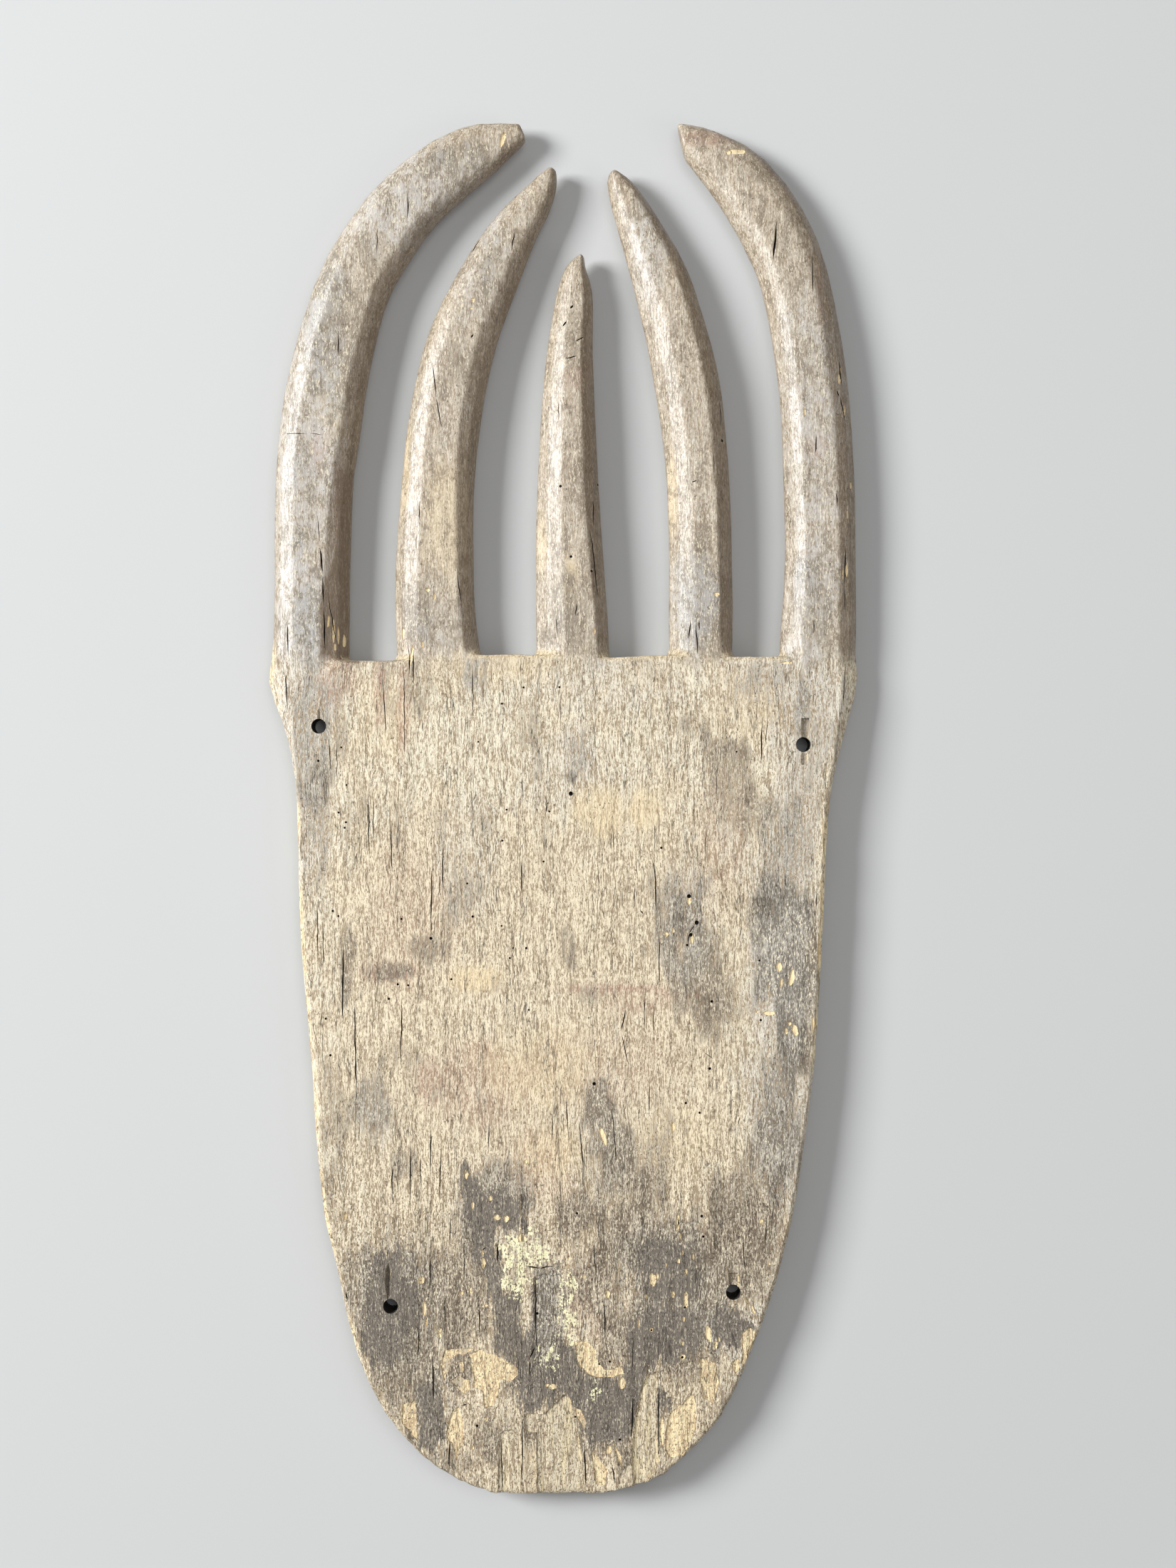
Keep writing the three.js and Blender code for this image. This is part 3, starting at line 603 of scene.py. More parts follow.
def rim_reach(places):
    """How far each place lies in from the left and the right rim, in millimetres"""
    row_height = 6
    middle = 90
    rows = np.arange(2 * middle + 1)
    row = np.clip(np.round(places[:, 1] / row_height).astype(int) + middle, 0, rows[-1])
    reaches = []
    for side in (-1, 1):
        edge = np.full(len(rows), -1e9)
        np.maximum.at(edge, row, side * places[:, 0])
        known = edge > -1e8
        edge = np.interp(places[:, 1] / row_height + middle, rows[known], edge[known])
        reaches.append(edge - side * places[:, 0])
    return reaches


def rubbed_rim(places):
    """How strongly each place lies in a rubbed stretch of the rim, from 0 to 1"""
    fade = 8
    blur = 0.8
    left, right = rim_reach(places)
    broken = 0.5 + 0.5 * soft_noise(places, (6, 26, 40), 90)
    ragged = soft_noise(places, (5, 9, 40), 91)
    strongest = np.zeros(len(places))
    for side, high, low, width, unbroken in RUBBED_RIMS:
        reach = left if side < 0 else right
        along = smooth_between(low - fade, low + fade, places[:, 1])
        along = along * smooth_between(high + fade, high - fade, places[:, 1])
        across = smooth_between(width + blur, width - blur, reach + 0.9 * ragged)
        whole = smooth_between(0.9 - unbroken, 1.1 - unbroken, broken)
        strongest = np.maximum(strongest, along * across * whole)
    return strongest


def upright_post(x, y, sides, radius, low, high):
    """A round post between two heights, its radius in metres"""
    bpy.ops.mesh.primitive_cylinder_add(
        vertices=sides, radius=radius, depth=(high - low) * MM,
        location=Vector((x, y, (low + high) / 2)) * MM,
    )
    return bpy.context.object


def put_in_place(x, y, z, scale):
    """Scales the new primitive and moves it to its place, both in millimetres"""
    made = bpy.context.object
    made.scale = Vector(scale) * MM
    made.location = Vector((x, y, z)) * MM
    return made


def plugs():
    """Solid plugs that close the cord holes and their grooves, flush with the face"""
    radius = 6.2 * MM
    low = 2
    spare = 1
    made = [upright_post(x, y, 32, radius, low, FACE) for x, y in CORD_HOLES]
    for x, y, half_width, half_length, depth in POINTED_GROOVES + SQUARE_GROOVES:
        size = (2 * half_width + spare, 2 * half_length + spare, depth + spare)
        bpy.ops.mesh.primitive_cube_add(size=1)
        made.append(put_in_place(x, y, FACE - size[2] / 2, size))
    return made


def rough_out(carving):
    """A closed, even mesh of the solid with its holes filled, finer across the grain than along it"""
    solid = link_object("filled_solid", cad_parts[NODE].data.copy())
    deselect_all()
    pieces = plugs()
    work_on(solid, *pieces)
    bpy.ops.object.join()
    work_on(solid)
    bpy.ops.object.mode_set(mode="EDIT")
    bpy.ops.mesh.select_all(action="SELECT")
    bpy.ops.mesh.remove_doubles(threshold=0.001 * MM)
    bpy.ops.object.mode_set(mode="OBJECT")

    body = link_object(PIECE, solid.data.copy())
    squeeze = np.array((1, 1 / carving.stretch, 1))
    write_points(body, read_points(body)[0] * squeeze)
    apply_modifier(body, "REMESH", mode="VOXEL", voxel_size=carving.cell, use_smooth_shade=True)
    write_points(body, read_points(body)[0] / squeeze)
    apply_modifier(body, "SHRINKWRAP", target=solid, wrap_method="NEAREST_SURFACEPOINT")
    bpy.data.objects.remove(solid)
    return body


def soften_horns(body, steps):
    """Rounds the ridges of the horns, which handling wore"""
    places, _ = read_points(body)
    horn = smooth_between(SHOULDER - 20, SHOULDER + 15, places[:, 1])
    levels = 4
    group = body.vertex_groups.new(name="horns")
    for level in range(1, levels + 1):
        chosen = np.flatnonzero(np.round(horn * levels) == level)
        group.add(chosen.tolist(), level / levels, "REPLACE")
    apply_modifier(body, "SMOOTH", factor=0.5, iterations=steps, vertex_group="horns")
    body.vertex_groups.clear()


def carve_relief(body, carving):
    """Hews the broad waves and the tool cuts, and wears the grain, the rims and the lower end"""
    places, normals = read_points(body)
    facing = normals[:, 2]
    up = smooth_between(0.2, 0.75, facing)
    hidden = smooth_between(0.3, 0.8, -facing)
    horn = smooth_between(SHOULDER - 10, SHOULDER + 15, places[:, 1])
    low_end = smooth_between(-230, -330, places[:, 1])

    # Broad waves, and the scoops of the knife and the adze
    waves = 0.8 * soft_noise(places, (34, 75, 60), 1) + 0.35 * soft_noise(places, (11, 40, 40), 2)
    depth = carving.hewing / MM * waves * (1 - hidden)
    cut = horn * (1 - hidden) + 0.3 * (1 - horn) * up
    depth += cut * carving.knife_cuts / MM * tool_cuts(places, 8, 55, 11)
    depth += hidden * carving.adze_cuts / MM * tool_cuts(places, 24, 19, 14)

    # Weathered grain, which is coarsest at the lower end
    grain = soft_noise(places, (3.2, 50, 9), 6) + 0.8 * soft_noise(places, (5.5, 90, 14), 7)
    grain += 0.5 * low_end * np.abs(soft_noise(places, (4.2, 36, 14), 17)) * 3
    depth += carving.grain_relief / MM * grain * (0.7 + 0.9 * low_end - 0.35 * horn) * (1 - 0.5 * hidden)

    # Crusts that stand out
    lumps = 0.4 + 0.5 * soft_noise(places, (4, 5, 8), 32)
    depth -= up * lumps * smooth_between(-0.5, 1.5, crust_reach(places))

    # Rubbed rims, the broken lower end and the blunted edge all round
    depth += up * carving.rim_wear / MM * rubbed_rim(places)
    worn = smooth_between(-478, -505, places[:, 1]) * (1.2 + 1.4 * soft_noise(places, (5, 14, 12), 8))
    rim = smooth_between(0.9, 0.5, facing) * (1 - hidden) * (1 - horn)
    depth += worn * (1 - up) + rim * (0.25 + 0.35 * soft_noise(places, (8, 16, 10), 9))

    # The hidden side is only cut, so that it never reaches under the surface that it lies on
    depth = np.where(facing < -0.3, np.maximum(depth, 0), depth)
    write_points(body, places - normals * depth[:, None])


def thin_hidden_side(body, share):
    """Takes out most of the mesh on the hidden side, which is plain"""
    places, normals = read_points(body)
    looks_down = normals[:, 2] < -0.25
    lies_low = places[:, 2] < 6
    group = body.vertex_groups.new(name="hidden")
    group.add(np.flatnonzero(looks_down | lies_low).tolist(), 1.0, "REPLACE")
    apply_modifier(body, "DECIMATE", ratio=share, vertex_group="hidden")
    body.vertex_groups.clear()


def mark_faces(piece, kind):
    """Notes on each face what sort of wood it shows"""
    layer = piece.data.attributes.get("kind") or piece.data.attributes.new("kind", "FLOAT", "FACE")
    layer.data.foreach_set("value", [kind] * len(piece.data.polygons))


def link_mesh(name, shape):
    """An object of the finished shape, whose faces point outwards"""
    bmesh.ops.recalc_face_normals(shape, faces=shape.faces)
    mesh = bpy.data.meshes.new(name)
    shape.to_mesh(mesh)
    shape.free()
    return link_object(name, mesh)


def splintered(outline, dice):
    """The outline with points 3 mm or more apart, each moved a little more along the grain than across"""
    points = []
    for (x0, y0), (x1, y1) in with_next(outline):
        steps = max(1, int(np.hypot(x1 - x0, y1 - y0) / 3))
        for step in range(steps):
            x = x0 + (x1 - x0) * step / steps + dice.uniform(-0.5, 0.5)
            y = y0 + (y1 - y0) * step / steps + dice.uniform(-1.2, 1.2)
            points.append((x, y))
    return points


def chip_outline(dice, x, y, width, length, lean=0):
    """A chip's outline: long along the grain, with uneven sides"""
    corners = 10
    points = []
    for turn in np.arange(corners) / corners * 2 * np.pi:
        size = dice.uniform(0.8, 1.2)
        along = length / 2 * np.sin(turn) * size
        across = width / 2 * np.cos(turn) * dice.uniform(0.75, 1.25)
        points.append((x + across + lean * along, y + along))
    return points


def upright_blocks(name, outlines, low, high):
    """A block over each outline, between two heights"""
    shape = bmesh.new()
    for outline in outlines:
        rings = [[shape.verts.new(Vector((x, y, z)) * MM) for x, y in outline] for z in (low, high)]
        shape.faces.new(rings[0])
        shape.faces.new(rings[1])
        for i in range(len(outline)):
            shape.faces.new((rings[0][i], rings[0][i - 1], rings[1][i - 1], rings[1][i]))
    return link_mesh(name, shape)


def take_off_layer(body, outlines, depth, kind):
    """Lowers the visible surface inside the outlines, and keeps its relief on the lowered floor"""
    low = 8
    high = 38
    cutter = upright_blocks("layer", outlines, low, high)
    mark_faces(cutter, kind)
    lowered = link_object("lowered", body.data.copy())
    mark_faces(lowered, kind)
    write_points(lowered, read_points(lowered)[0] - (0, 0, depth / MM))
    cut_out(cutter, lowered)
    cut_out(body, cutter)


def cut_away(body, cutters, kind):
    """Joins the cutters and cuts them out of the body"""
    work_on(*cutters)
    bpy.ops.object.transform_apply(location=True, rotation=True, scale=True)
    bpy.ops.object.join()
    cutter = bpy.context.object
    mark_faces(cutter, kind)
    cut_out(body, cutter)


def surface_height(body, x, y):
    """Height of the visible surface at a place, in millimetres"""
    hit, place, _, _ = body.ray_cast(Vector((x, y, OVERHEAD)) * MM, Vector((0, 0, -1)))
    return place.z / MM if hit else None


def cord_hole_cutters(boring):
    """Posts that stand well out of both sides"""
    radius = boring.cord_hole / 2
    return [upright_post(x, y, boring.hole_sides, radius, -1.5 * FACE, 2.5 * FACE) for x, y in CORD_HOLES]


def groove_cutters():
    """Boxes for the square grooves and spindles for the pointed ones, half of each over the face"""
    cutters = []
    for x, y, *half_size in SQUARE_GROOVES:
        bpy.ops.mesh.primitive_cube_add(size=2)
        cutters.append(put_in_place(x, y, FACE, half_size))
    for x, y, *half_size in POINTED_GROOVES:
        bpy.ops.mesh.primitive_uv_sphere_add(segments=8, ring_count=4, radius=1)
        cutters.append(put_in_place(x, y, FACE, half_size))
    return cutters


def split_cutter(body, name, split, waver, dice):
    """A thin wavering wedge along one split, standing a little out of the surface"""
    start_x, start_y, end_x, end_y, width, depth = split
    length = np.hypot(end_x - start_x, end_y - start_y)
    aside_x, aside_y = (start_y - end_y) / length, (end_x - start_x) / length
    shape = bmesh.new()
    rows = []
    stations = max(5, int(length / 5))
    for share in np.linspace(0, 1, stations):
        shift = dice.uniform(-waver, waver)
        x = start_x + (end_x - start_x) * share + aside_x * shift
        y = start_y + (end_y - start_y) * share + aside_y * shift
        height = surface_height(body, x, y)
        if height is None:
            continue
        opening = (0.25 + 0.75 * np.sin(np.pi * share) ** 0.6) * dice.uniform(0.75, 1.15)
        half = width * 0.55 * opening
        rim = height + depth / 2
        rows.append([
            shape.verts.new(Vector((x - half * aside_x, y - half * aside_y, rim)) * MM),
            shape.verts.new(Vector((x, y, height - depth * opening)) * MM),
            shape.verts.new(Vector((x + half * aside_x, y + half * aside_y, rim)) * MM),
        ])
    for upper, lower in zip(rows, rows[1:]):
        for side in range(3):
            shape.faces.new((upper[side], upper[side - 1], lower[side - 1], lower[side]))
    shape.faces.new(rows[0])
    shape.faces.new(rows[-1])
    return link_mesh(name, shape)


def split_cutters(body):
    """Wedges for all the splits and the slits"""
    dice = np.random.default_rng(SPLIT_SEED)
    cutters = []
    kinds = (("split", BOARD_SPLITS + HORN_SPLITS, 0.35), ("slit", SLITS, 0.1))
    for name, rows, waver in kinds:
        for i, row in enumerate(rows):
            cutters.append(split_cutter(body, f"{name}_{i}", row, waver, dice))
    return cutters


def worm_hole_cutters(body, boring):
    """Cones that narrow downwards, each leaning a little its own way"""
    dice = np.random.default_rng(WORM_HOLE_SEED)
    middle = Vector((0, 0, boring.worm_depth / 2))
    cutters = []
    for x, y, diameter in WORM_HOLES:
        height = surface_height(body, x, y)
        if height is None:
            continue
        bpy.ops.mesh.primitive_cone_add(
            vertices=10, radius1=diameter * 0.35 * MM, radius2=diameter * 0.56 * MM,
            depth=boring.worm_depth,
            location=Vector((x, y, height + 1)) * MM - middle,
            rotation=(dice.uniform(-0.2, 0.2), dice.uniform(-0.2, 0.2), dice.uniform(0, 3)),
        )
        cutters.append(bpy.context.object)
    return cutters


def store(piece, name, values):
    """Keeps a value for each vertex as an attribute of that name"""
    layer = piece.data.attributes.get(name) or piece.data.attributes.new(name, "FLOAT", "POINT")
    layer.data.foreach_set("value", values.astype(np.float32))


def store_wear(body):
    """Stores where the wood is stained, tinted, crusted, polished or rubbed, and where shade, a highlight
    and sheen are painted, for the finish to read
    """
    places, normals = read_points(body)
    x, y = places[:, 0], places[:, 1]
    facing = normals[:, 2]
    up = smooth_between(0.1, 0.5, facing)
    hidden = smooth_between(0.2, 0.6, -facing)
    horn = smooth_between(SHOULDER - 16, SHOULDER + 8, y + 8 * soft_noise(places, (9, 12, 40), 41))
    low_end = smooth_between(-225, -330, y + 18 * soft_noise(places, (40, 60, 40), 40))

    # The listed stains and tints on the visible side, and soft broad stains on the hidden one
    stained = patches(places, STAINS, 0.34, 50) * up
    hidden_stains = 0.5 + 0.3 * soft_noise(places, (60, 110, 60), 51)
    hidden_stains = hidden_stains + 0.3 * soft_noise(places, (18, 40, 60), 52)
    store(body, "stained", np.maximum(stained, np.clip(hidden_stains, 0, 1) * hidden))
    store(body, "reddish", patches(places, RED_PATCHES, 0.2, 60) * up)
    store(body, "yellowish", patches(places, YELLOW_PATCHES, 0.2, 70) * up)
    store(body, "cool", patches(places, COOL_PATCHES, 0.25, 65) * up)

    # The pale warm middle of the board, and the distances inside the charcoal and the crusts
    store(body, "warm", smooth_between(40, -60, y) * smooth_between(180, 110, np.abs(x + 20)) * up)
    on_face = up > 0.5
    store(body, "charcoal", np.where(on_face, reach_inside_any(places, CHARCOAL, 9, 16, 3.0, 80), -20))
    store(body, "crusted", np.where(on_face, crust_reach(places), -12))

    # Handling and dirt; the rubbed rims and the shoulder's edge between the horns, partly worn and partly a
    # painted highlight; and painted shade on the horns' sides and on the outer left horn's foot
    store(body, "polish", np.maximum(horn, 0.35 * hidden))
    store(body, "grime", 0.55 * low_end * (1 - hidden))
    store(body, "flecked", np.maximum(np.maximum(low_end, stained), 0.4) * up * (1 - 0.4 * horn))
    # The shoulder's edge between the horns is painted pale: partly worn wood, partly a painted highlight
    worn_and_highlit_arris = smooth_between(0.12, 0.4, normals[:, 1]) * smooth_between(6, 3, np.abs(y - SHOULDER))
    rubbed = np.maximum(rubbed_rim(places), 0.5 * worn_and_highlit_arris * (np.abs(x) < 165))
    store(body, "rubbed", rubbed * smooth_between(0, 0.4, facing))
    # Painted shade: darker brown on the horns' faces turned to the right or away from the top, and on the
    # outer left horn's foot
    foot_shade = smooth_between(-1.5, 1.5, reach_inside(places, PAINTED_FOOT_SHADE))
    right_shade = smooth_between(0.1, 0.55, normals[:, 0]) * (1 - hidden)
    turned_shade = 0.4 * smooth_between(0.62, 0.25, facing) * (1 - hidden)
    store(body, "painted_side_shade", np.maximum(horn * np.maximum(0.7 * right_shade, turned_shade), foot_shade * up))


def add_node(tree, kind, sockets=None, **settings):
    """A node with its settings, its socket values and its links"""
    made = tree.nodes.new(kind)
    for name, value in settings.items():
        setattr(made, name, value)
    for key, value in (sockets or {}).items():
        if isinstance(value, bpy.types.NodeSocket):
            tree.links.new(value, made.inputs[key])
        else:
            made.inputs[key].default_value = value
    return made


def do_math(tree, operation, *values, clamp=False):
    sockets = dict(enumerate(values))
    return add_node(tree, "ShaderNodeMath", sockets, operation=operation, use_clamp=clamp).outputs[0]


def do_vector_math(tree, operation, first, second):
    return add_node(tree, "ShaderNodeVectorMath", {0: first, 1: second}, operation=operation).outputs[0]


def weighted_sum(tree, *pairs):
    """The sum of values, each times its weight"""
    total = None
    for value, weight in pairs:
        part = do_math(tree, "MULTIPLY", value, weight)
        total = part if total is None else do_math(tree, "ADD", total, part)
    return total


def remap(tree, value, low, high, start=0.0, end=1.0):
    """The value brought smoothly from start at low to end at high"""
    sockets = {"Value": value, "From Min": low, "From Max": high, "To Min": start, "To Max": end}
    return add_node(tree, "ShaderNodeMapRange", sockets, interpolation_type="SMOOTHSTEP").outputs[0]


def mix_colour(tree, share, first, second):
    sockets = {0: share, 6: first, 7: second}
    return add_node(tree, "ShaderNodeMix", sockets, data_type="RGBA").outputs[2]


def attribute(tree, name):
    return add_node(tree, "ShaderNodeAttribute", attribute_name=name).outputs["Fac"]


def new_group(name, inputs, outputs):
    """A node group of number outputs, with its input and output sockets"""
    tree = bpy.data.node_groups.new(name, "ShaderNodeTree")
    for label, kind in inputs.items():
        tree.interface.new_socket(label, in_out="INPUT", socket_type=kind)
    for label in outputs:
        tree.interface.new_socket(label, in_out="OUTPUT", socket_type="NodeSocketFloat")
    return tree, tree.nodes.new("NodeGroupInput").outputs, tree.nodes.new("NodeGroupOutput").inputs


def scaled_place(tree, place, width, length):
    """The place measured in cells of that width across the grain and that length along it"""
    scale = (1 / (width * MM), 1 / (length * MM), 1 / (width * MM))
    return do_vector_math(tree, "MULTIPLY", place, scale)


def noise(tree, place, detail, roughness):
    sockets = {"Vector": place, "Scale": 1.0, "Detail": detail, "Roughness": roughness}
    return add_node(tree, "ShaderNodeTexNoise", sockets).outputs[0]


def grain_group():
    """Wavering noise drawn out along the grain at four sizes, with slits, clouds, mottles and specks"""
    names = [name for name in GRAIN_LAYERS if name != "Gaps"] + ["Slits"]
    tree, given, result = new_group("Open grain", {"Place": "NodeSocketVector"}, names)
    sockets = {"Vector": given["Place"], "Scale": 26.0, "Detail": 2.0}
    waver = add_node(tree, "ShaderNodeTexNoise", sockets).outputs["Color"]
    centred = do_vector_math(tree, "ADD", waver, (-0.5, -0.5, -0.5))
    shift = do_vector_math(tree, "MULTIPLY", centred, (6 * MM, 6 * MM, 6 * MM))
    bent = do_vector_math(tree, "ADD", given["Place"], shift)
    made = {
        name: noise(tree, scaled_place(tree, bent, width, length), detail, roughness)
        for name, (width, length, detail, roughness) in GRAIN_LAYERS.items()
    }
    between = do_math(tree, "ABSOLUTE", do_math(tree, "SUBTRACT", made["Gaps"], 0.5))
    open_here = remap(tree, made["Broad"], 0.46, 0.58)
    made["Slits"] = do_math(tree, "MULTIPLY", remap(tree, between, 0.024, 0.006), open_here)
    for name in names:
        tree.links.new(made[name], result[name])
    return tree


def patina_group():
    """Where the patina still lies: crisp ragged patches, more of them where the wood is stained"""
    shares = {"Clouds": 0.24, "Strand": 0.26, "Fine": 0.20, "Streaks": 0.30}
    inputs = dict.fromkeys(("Amount", *shares), "NodeSocketFloat")
    tree, given, result = new_group("Ragged patina", inputs, ["Cover"])
    worn = weighted_sum(tree, *((given[name], share) for name, share in shares.items()))
    limit = do_math(tree, "SUBTRACT", 0.60, do_math(tree, "MULTIPLY", given["Amount"], 0.2))
    over = do_math(tree, "SUBTRACT", worn, limit)
    tree.links.new(remap(tree, over, -0.022, 0.022), result["Cover"])
    return tree


def wood_material(finish):
    """The wood's material, built up in layers from the bare fibres to the dirt and painted shade in the
    splits
    """
    material = bpy.data.materials.new("Weathered wood")
    material.use_nodes = True
    tree = material.node_tree
    tree.nodes.clear()

    def mixed(share, first, second):
        pair = [each if isinstance(each, bpy.types.NodeSocket) else (*each, 1) for each in (first, second)]
        return mix_colour(tree, share, *pair)

    def times(*values):
        total = values[0]
        for value in values[1:]:
            total = do_math(tree, "MULTIPLY", total, value)
        return total

    def shows(sort):
        return do_math(tree, "COMPARE", kind, sort, 0.4)

    kind = attribute(tree, "kind")
    polish = attribute(tree, "polish")
    grime = attribute(tree, "grime")
    cool = attribute(tree, "cool")
    stained = attribute(tree, "stained")
    place = add_node(tree, "ShaderNodeTexCoord").outputs["Object"]
    grain = add_node(tree, "ShaderNodeGroup", {"Place": place}, node_tree=grain_group()).outputs
    fine, strand, streaks, broad = (grain[name] for name in ("Fine", "Strand", "Streaks", "Broad"))
    slits, clouds, mottles, specks = (grain[name] for name in ("Slits", "Clouds", "Mottles", "Specks"))

    # Raised pale fibres over the dull wood between them
    plain = weighted_sum(tree, (fine, 0.44), (strand, 0.41), (streaks, 0.15))
    gain = remap(tree, weighted_sum(tree, (grime, 1.2), (polish, -0.2)), -0.45, 0.66, 0.4, 2.3)
    fibres = do_math(tree, "ADD", times(do_math(tree, "SUBTRACT", plain, 0.5), gain), 0.5)
    ridge = remap(tree, fibres, 0.41, 0.575)
    warmth = remap(tree, weighted_sum(tree, (clouds, 1.0), (attribute(tree, "warm"), 0.22)), 0.48, 0.66)
    browner = remap(tree, weighted_sum(tree, (mottles, 0.3), (clouds, 0.3), (streaks, 0.4)), 0.38, 0.62)
    handled_pale = mixed(browner, finish.polished_pale, finish.polished_tan)
    pale = mixed(polish, mixed(warmth, finish.pale_cool, finish.pale_warm), handled_pale)
    dull = mixed(polish, finish.dull, finish.polished_dull)
    colour = mixed(ridge, dull, mixed(times(cool, 0.7), pale, finish.pale_grey))

    # Reddish and yellowish patches
    red = times(attribute(tree, "reddish"), remap(tree, fibres, 0.62, 0.42, 0.4, 0.95))
    colour = mixed(red, colour, finish.reddish)
    yellow = times(attribute(tree, "yellowish"), remap(tree, fibres, 0.36, 0.56, 0.3, 0.7))
    colour = mixed(yellow, colour, finish.yellowish)

    # Ragged patina, worn brown or grey
    amount = weighted_sum(tree, (stained, 1.0), (grime, 0.5), (polish, 0.06))
    sockets = {"Amount": amount, "Fine": fine, "Strand": strand, "Streaks": streaks, "Clouds": clouds}
    cover = add_node(tree, "ShaderNodeGroup", sockets, node_tree=patina_group()).outputs["Cover"]
    worn = remap(tree, weighted_sum(tree, (fibres, 0.75), (clouds, 0.25)), 0.44, 0.585)
    brown = mixed(worn, finish.patina_dark, finish.patina_pale)
    grey = mixed(worn, finish.grey_dark, finish.grey_pale)
    covered = times(cover, remap(tree, polish, 0, 1, 0.9, 0.7))
    colour = mixed(covered, colour, mixed(cool, brown, grey))

    # Smooth charcoal with frayed edges
    charcoal = attribute(tree, "charcoal")
    frayed = weighted_sum(tree, (charcoal, 1.0), (streaks, 26.0), (strand, 14.0), (clouds, 14.0))
    charred = remap(tree, frayed, 25.4, 27.0)
    sooty = mixed(remap(tree, fibres, 0.57, 0.72), finish.charcoal, finish.patina_pale)
    colour = mixed(times(charred, 0.94), colour, sooty)

    # Dark mottles where hands polished the horns, pale bluish patches of painted sheen, and flecks where
    # the patina is worn through
    soft = weighted_sum(tree, (mottles, 0.6), (clouds, 0.4))
    handled = times(polish, remap(tree, soft, 0.485, 0.58, 0.0, 0.55))
    dark_mottle = mixed(remap(tree, cool, 0, 1, 0.4, 0.9), finish.brown_and_side_shade, finish.grey_dark)
    colour = mixed(handled, colour, dark_mottle)
    painted_bluish_sheen = times(polish, cool, remap(tree, soft, 0.53, 0.43, 0.0, 0.6))
    colour = mixed(painted_bluish_sheen, colour, finish.painted_bluish_sheen)
    worn_through = weighted_sum(tree, (strand, 0.35), (mottles, 0.25), (fine, 0.4))
    colour = mixed(times(polish, remap(tree, worn_through, 0.55, 0.59, 0.0, 0.6)), colour, finish.pale_warm)
    flecked = remap(tree, clouds, 0.42, 0.54, 0.3, 1)
    flecked = times(attribute(tree, "flecked"), remap(tree, fine, 0.57, 0.63), flecked)
    colour = mixed(times(flecked, remap(tree, charred, 0, 1, 0.95, 0.25)), colour, finish.pale_warm)

    # Painted shade on the horns' sides and on the outer left horn's foot, and rims rubbed down to fresh
    # wood, with the shoulder's edge partly a painted highlight
    side = times(attribute(tree, "painted_side_shade"), remap(tree, fibres, 0.62, 0.42, 0.72, 1.0))
    colour = mixed(side, colour, finish.brown_and_side_shade)
    # Rims rubbed down to fresh wood, and the shoulder's edge, which is partly worn and partly a painted
    # highlight
    rubbed = times(attribute(tree, "rubbed"), remap(tree, strand, 0.40, 0.5, 0.3, 0.95))
    fresh = mixed(remap(tree, fibres, 0.42, 0.54), finish.fresh_dull, finish.fresh)
    colour = mixed(rubbed, colour, fresh)

    # Crusty deposits
    lumpy = weighted_sum(tree, (attribute(tree, "crusted"), 1.0), (specks, 18.0), (mottles, 44.0))
    crusted = times(remap(tree, lumpy, 33.2, 34.2), remap(tree, specks, 0.40, 0.50, 0.1, 1.0))
    crust = mixed(remap(tree, mottles, 0.40, 0.52), finish.patina_pale, finish.crust)
    colour = mixed(crusted, colour, crust)

    # Chips, shallow patches and the flaked layer
    is_chip = shows(CHIP)
    colour = mixed(is_chip, colour, mixed(0.6, fresh, finish.fresh))
    brownish = weighted_sum(tree, (clouds, 0.4), (strand, 0.4), (streaks, 0.2), (stained, 0.09))
    brownish = remap(tree, brownish, 0.58, 0.61, 0.0, 0.8)
    colour = mixed(shows(SHALLOW), colour, mixed(brownish, fresh, finish.patina_pale))
    flaked = mixed(remap(tree, fibres, 0.42, 0.56), finish.dull, finish.flaked)
    flaked = mixed(remap(tree, broad, 0.5, 0.62, 0.0, 0.6), flaked, finish.fresh)
    colour = mixed(shows(FLAKE), colour, flaked)

    # Near-black in the pits, the slits and the bored walls: partly dirt and soot, partly painted shade
    pits = remap(tree, weighted_sum(tree, (specks, 1.0), (grime, -0.1)), 0.33, 0.27, 0.0, 0.6)
    opened = weighted_sum(tree, (polish, 1.0), (grime, -0.6))
    crevices = times(slits, remap(tree, opened, -0.3, 1, 0.75, 0.3))
    dark = do_math(tree, "MAXIMUM", do_math(tree, "MAXIMUM", pits, crevices), shows(SOOT_AND_SHADE))
    colour = mixed(dark, colour, finish.soot_and_shade)

    # Gloss, and the fine relief that the mesh can't carry
    roughness = remap(tree, polish, 0.0, 1.0, finish.dry_roughness, finish.polished_roughness)
    roughness = do_math(tree, "ADD", roughness, remap(tree, fibres, 0.40, 0.58, 0.12, -0.05))
    roughness = do_math(tree, "ADD", roughness, times(is_chip, 0.25), clamp=True)
    gloss = times(polish, finish.handling_gloss, remap(tree, mottles, 0.42, 0.56, 1.0, 0.65))
    height = weighted_sum(tree, (fine, 0.42), (strand, 0.58), (pits, -0.4), (slits, -0.4))
    coarser = remap(tree, weighted_sum(tree, (grime, 1.0), (polish, -0.5)), -0.6, 0.6, 0.45, 1.9)
    height = times(height, coarser)
    bump = add_node(tree, "ShaderNodeBump", {"Height": height, "Strength": 0.7, "Distance": 1.1 * MM})

    shader = add_node(tree, "ShaderNodeBsdfPrincipled", {
        "Base Color": colour, "Roughness": roughness, "Normal": bump.outputs[0],
        "Coat Weight": gloss, "Coat Roughness": 0.4,
    })
    output = add_node(tree, "ShaderNodeOutputMaterial")
    tree.links.new(shader.outputs[0], output.inputs["Surface"])
    return material


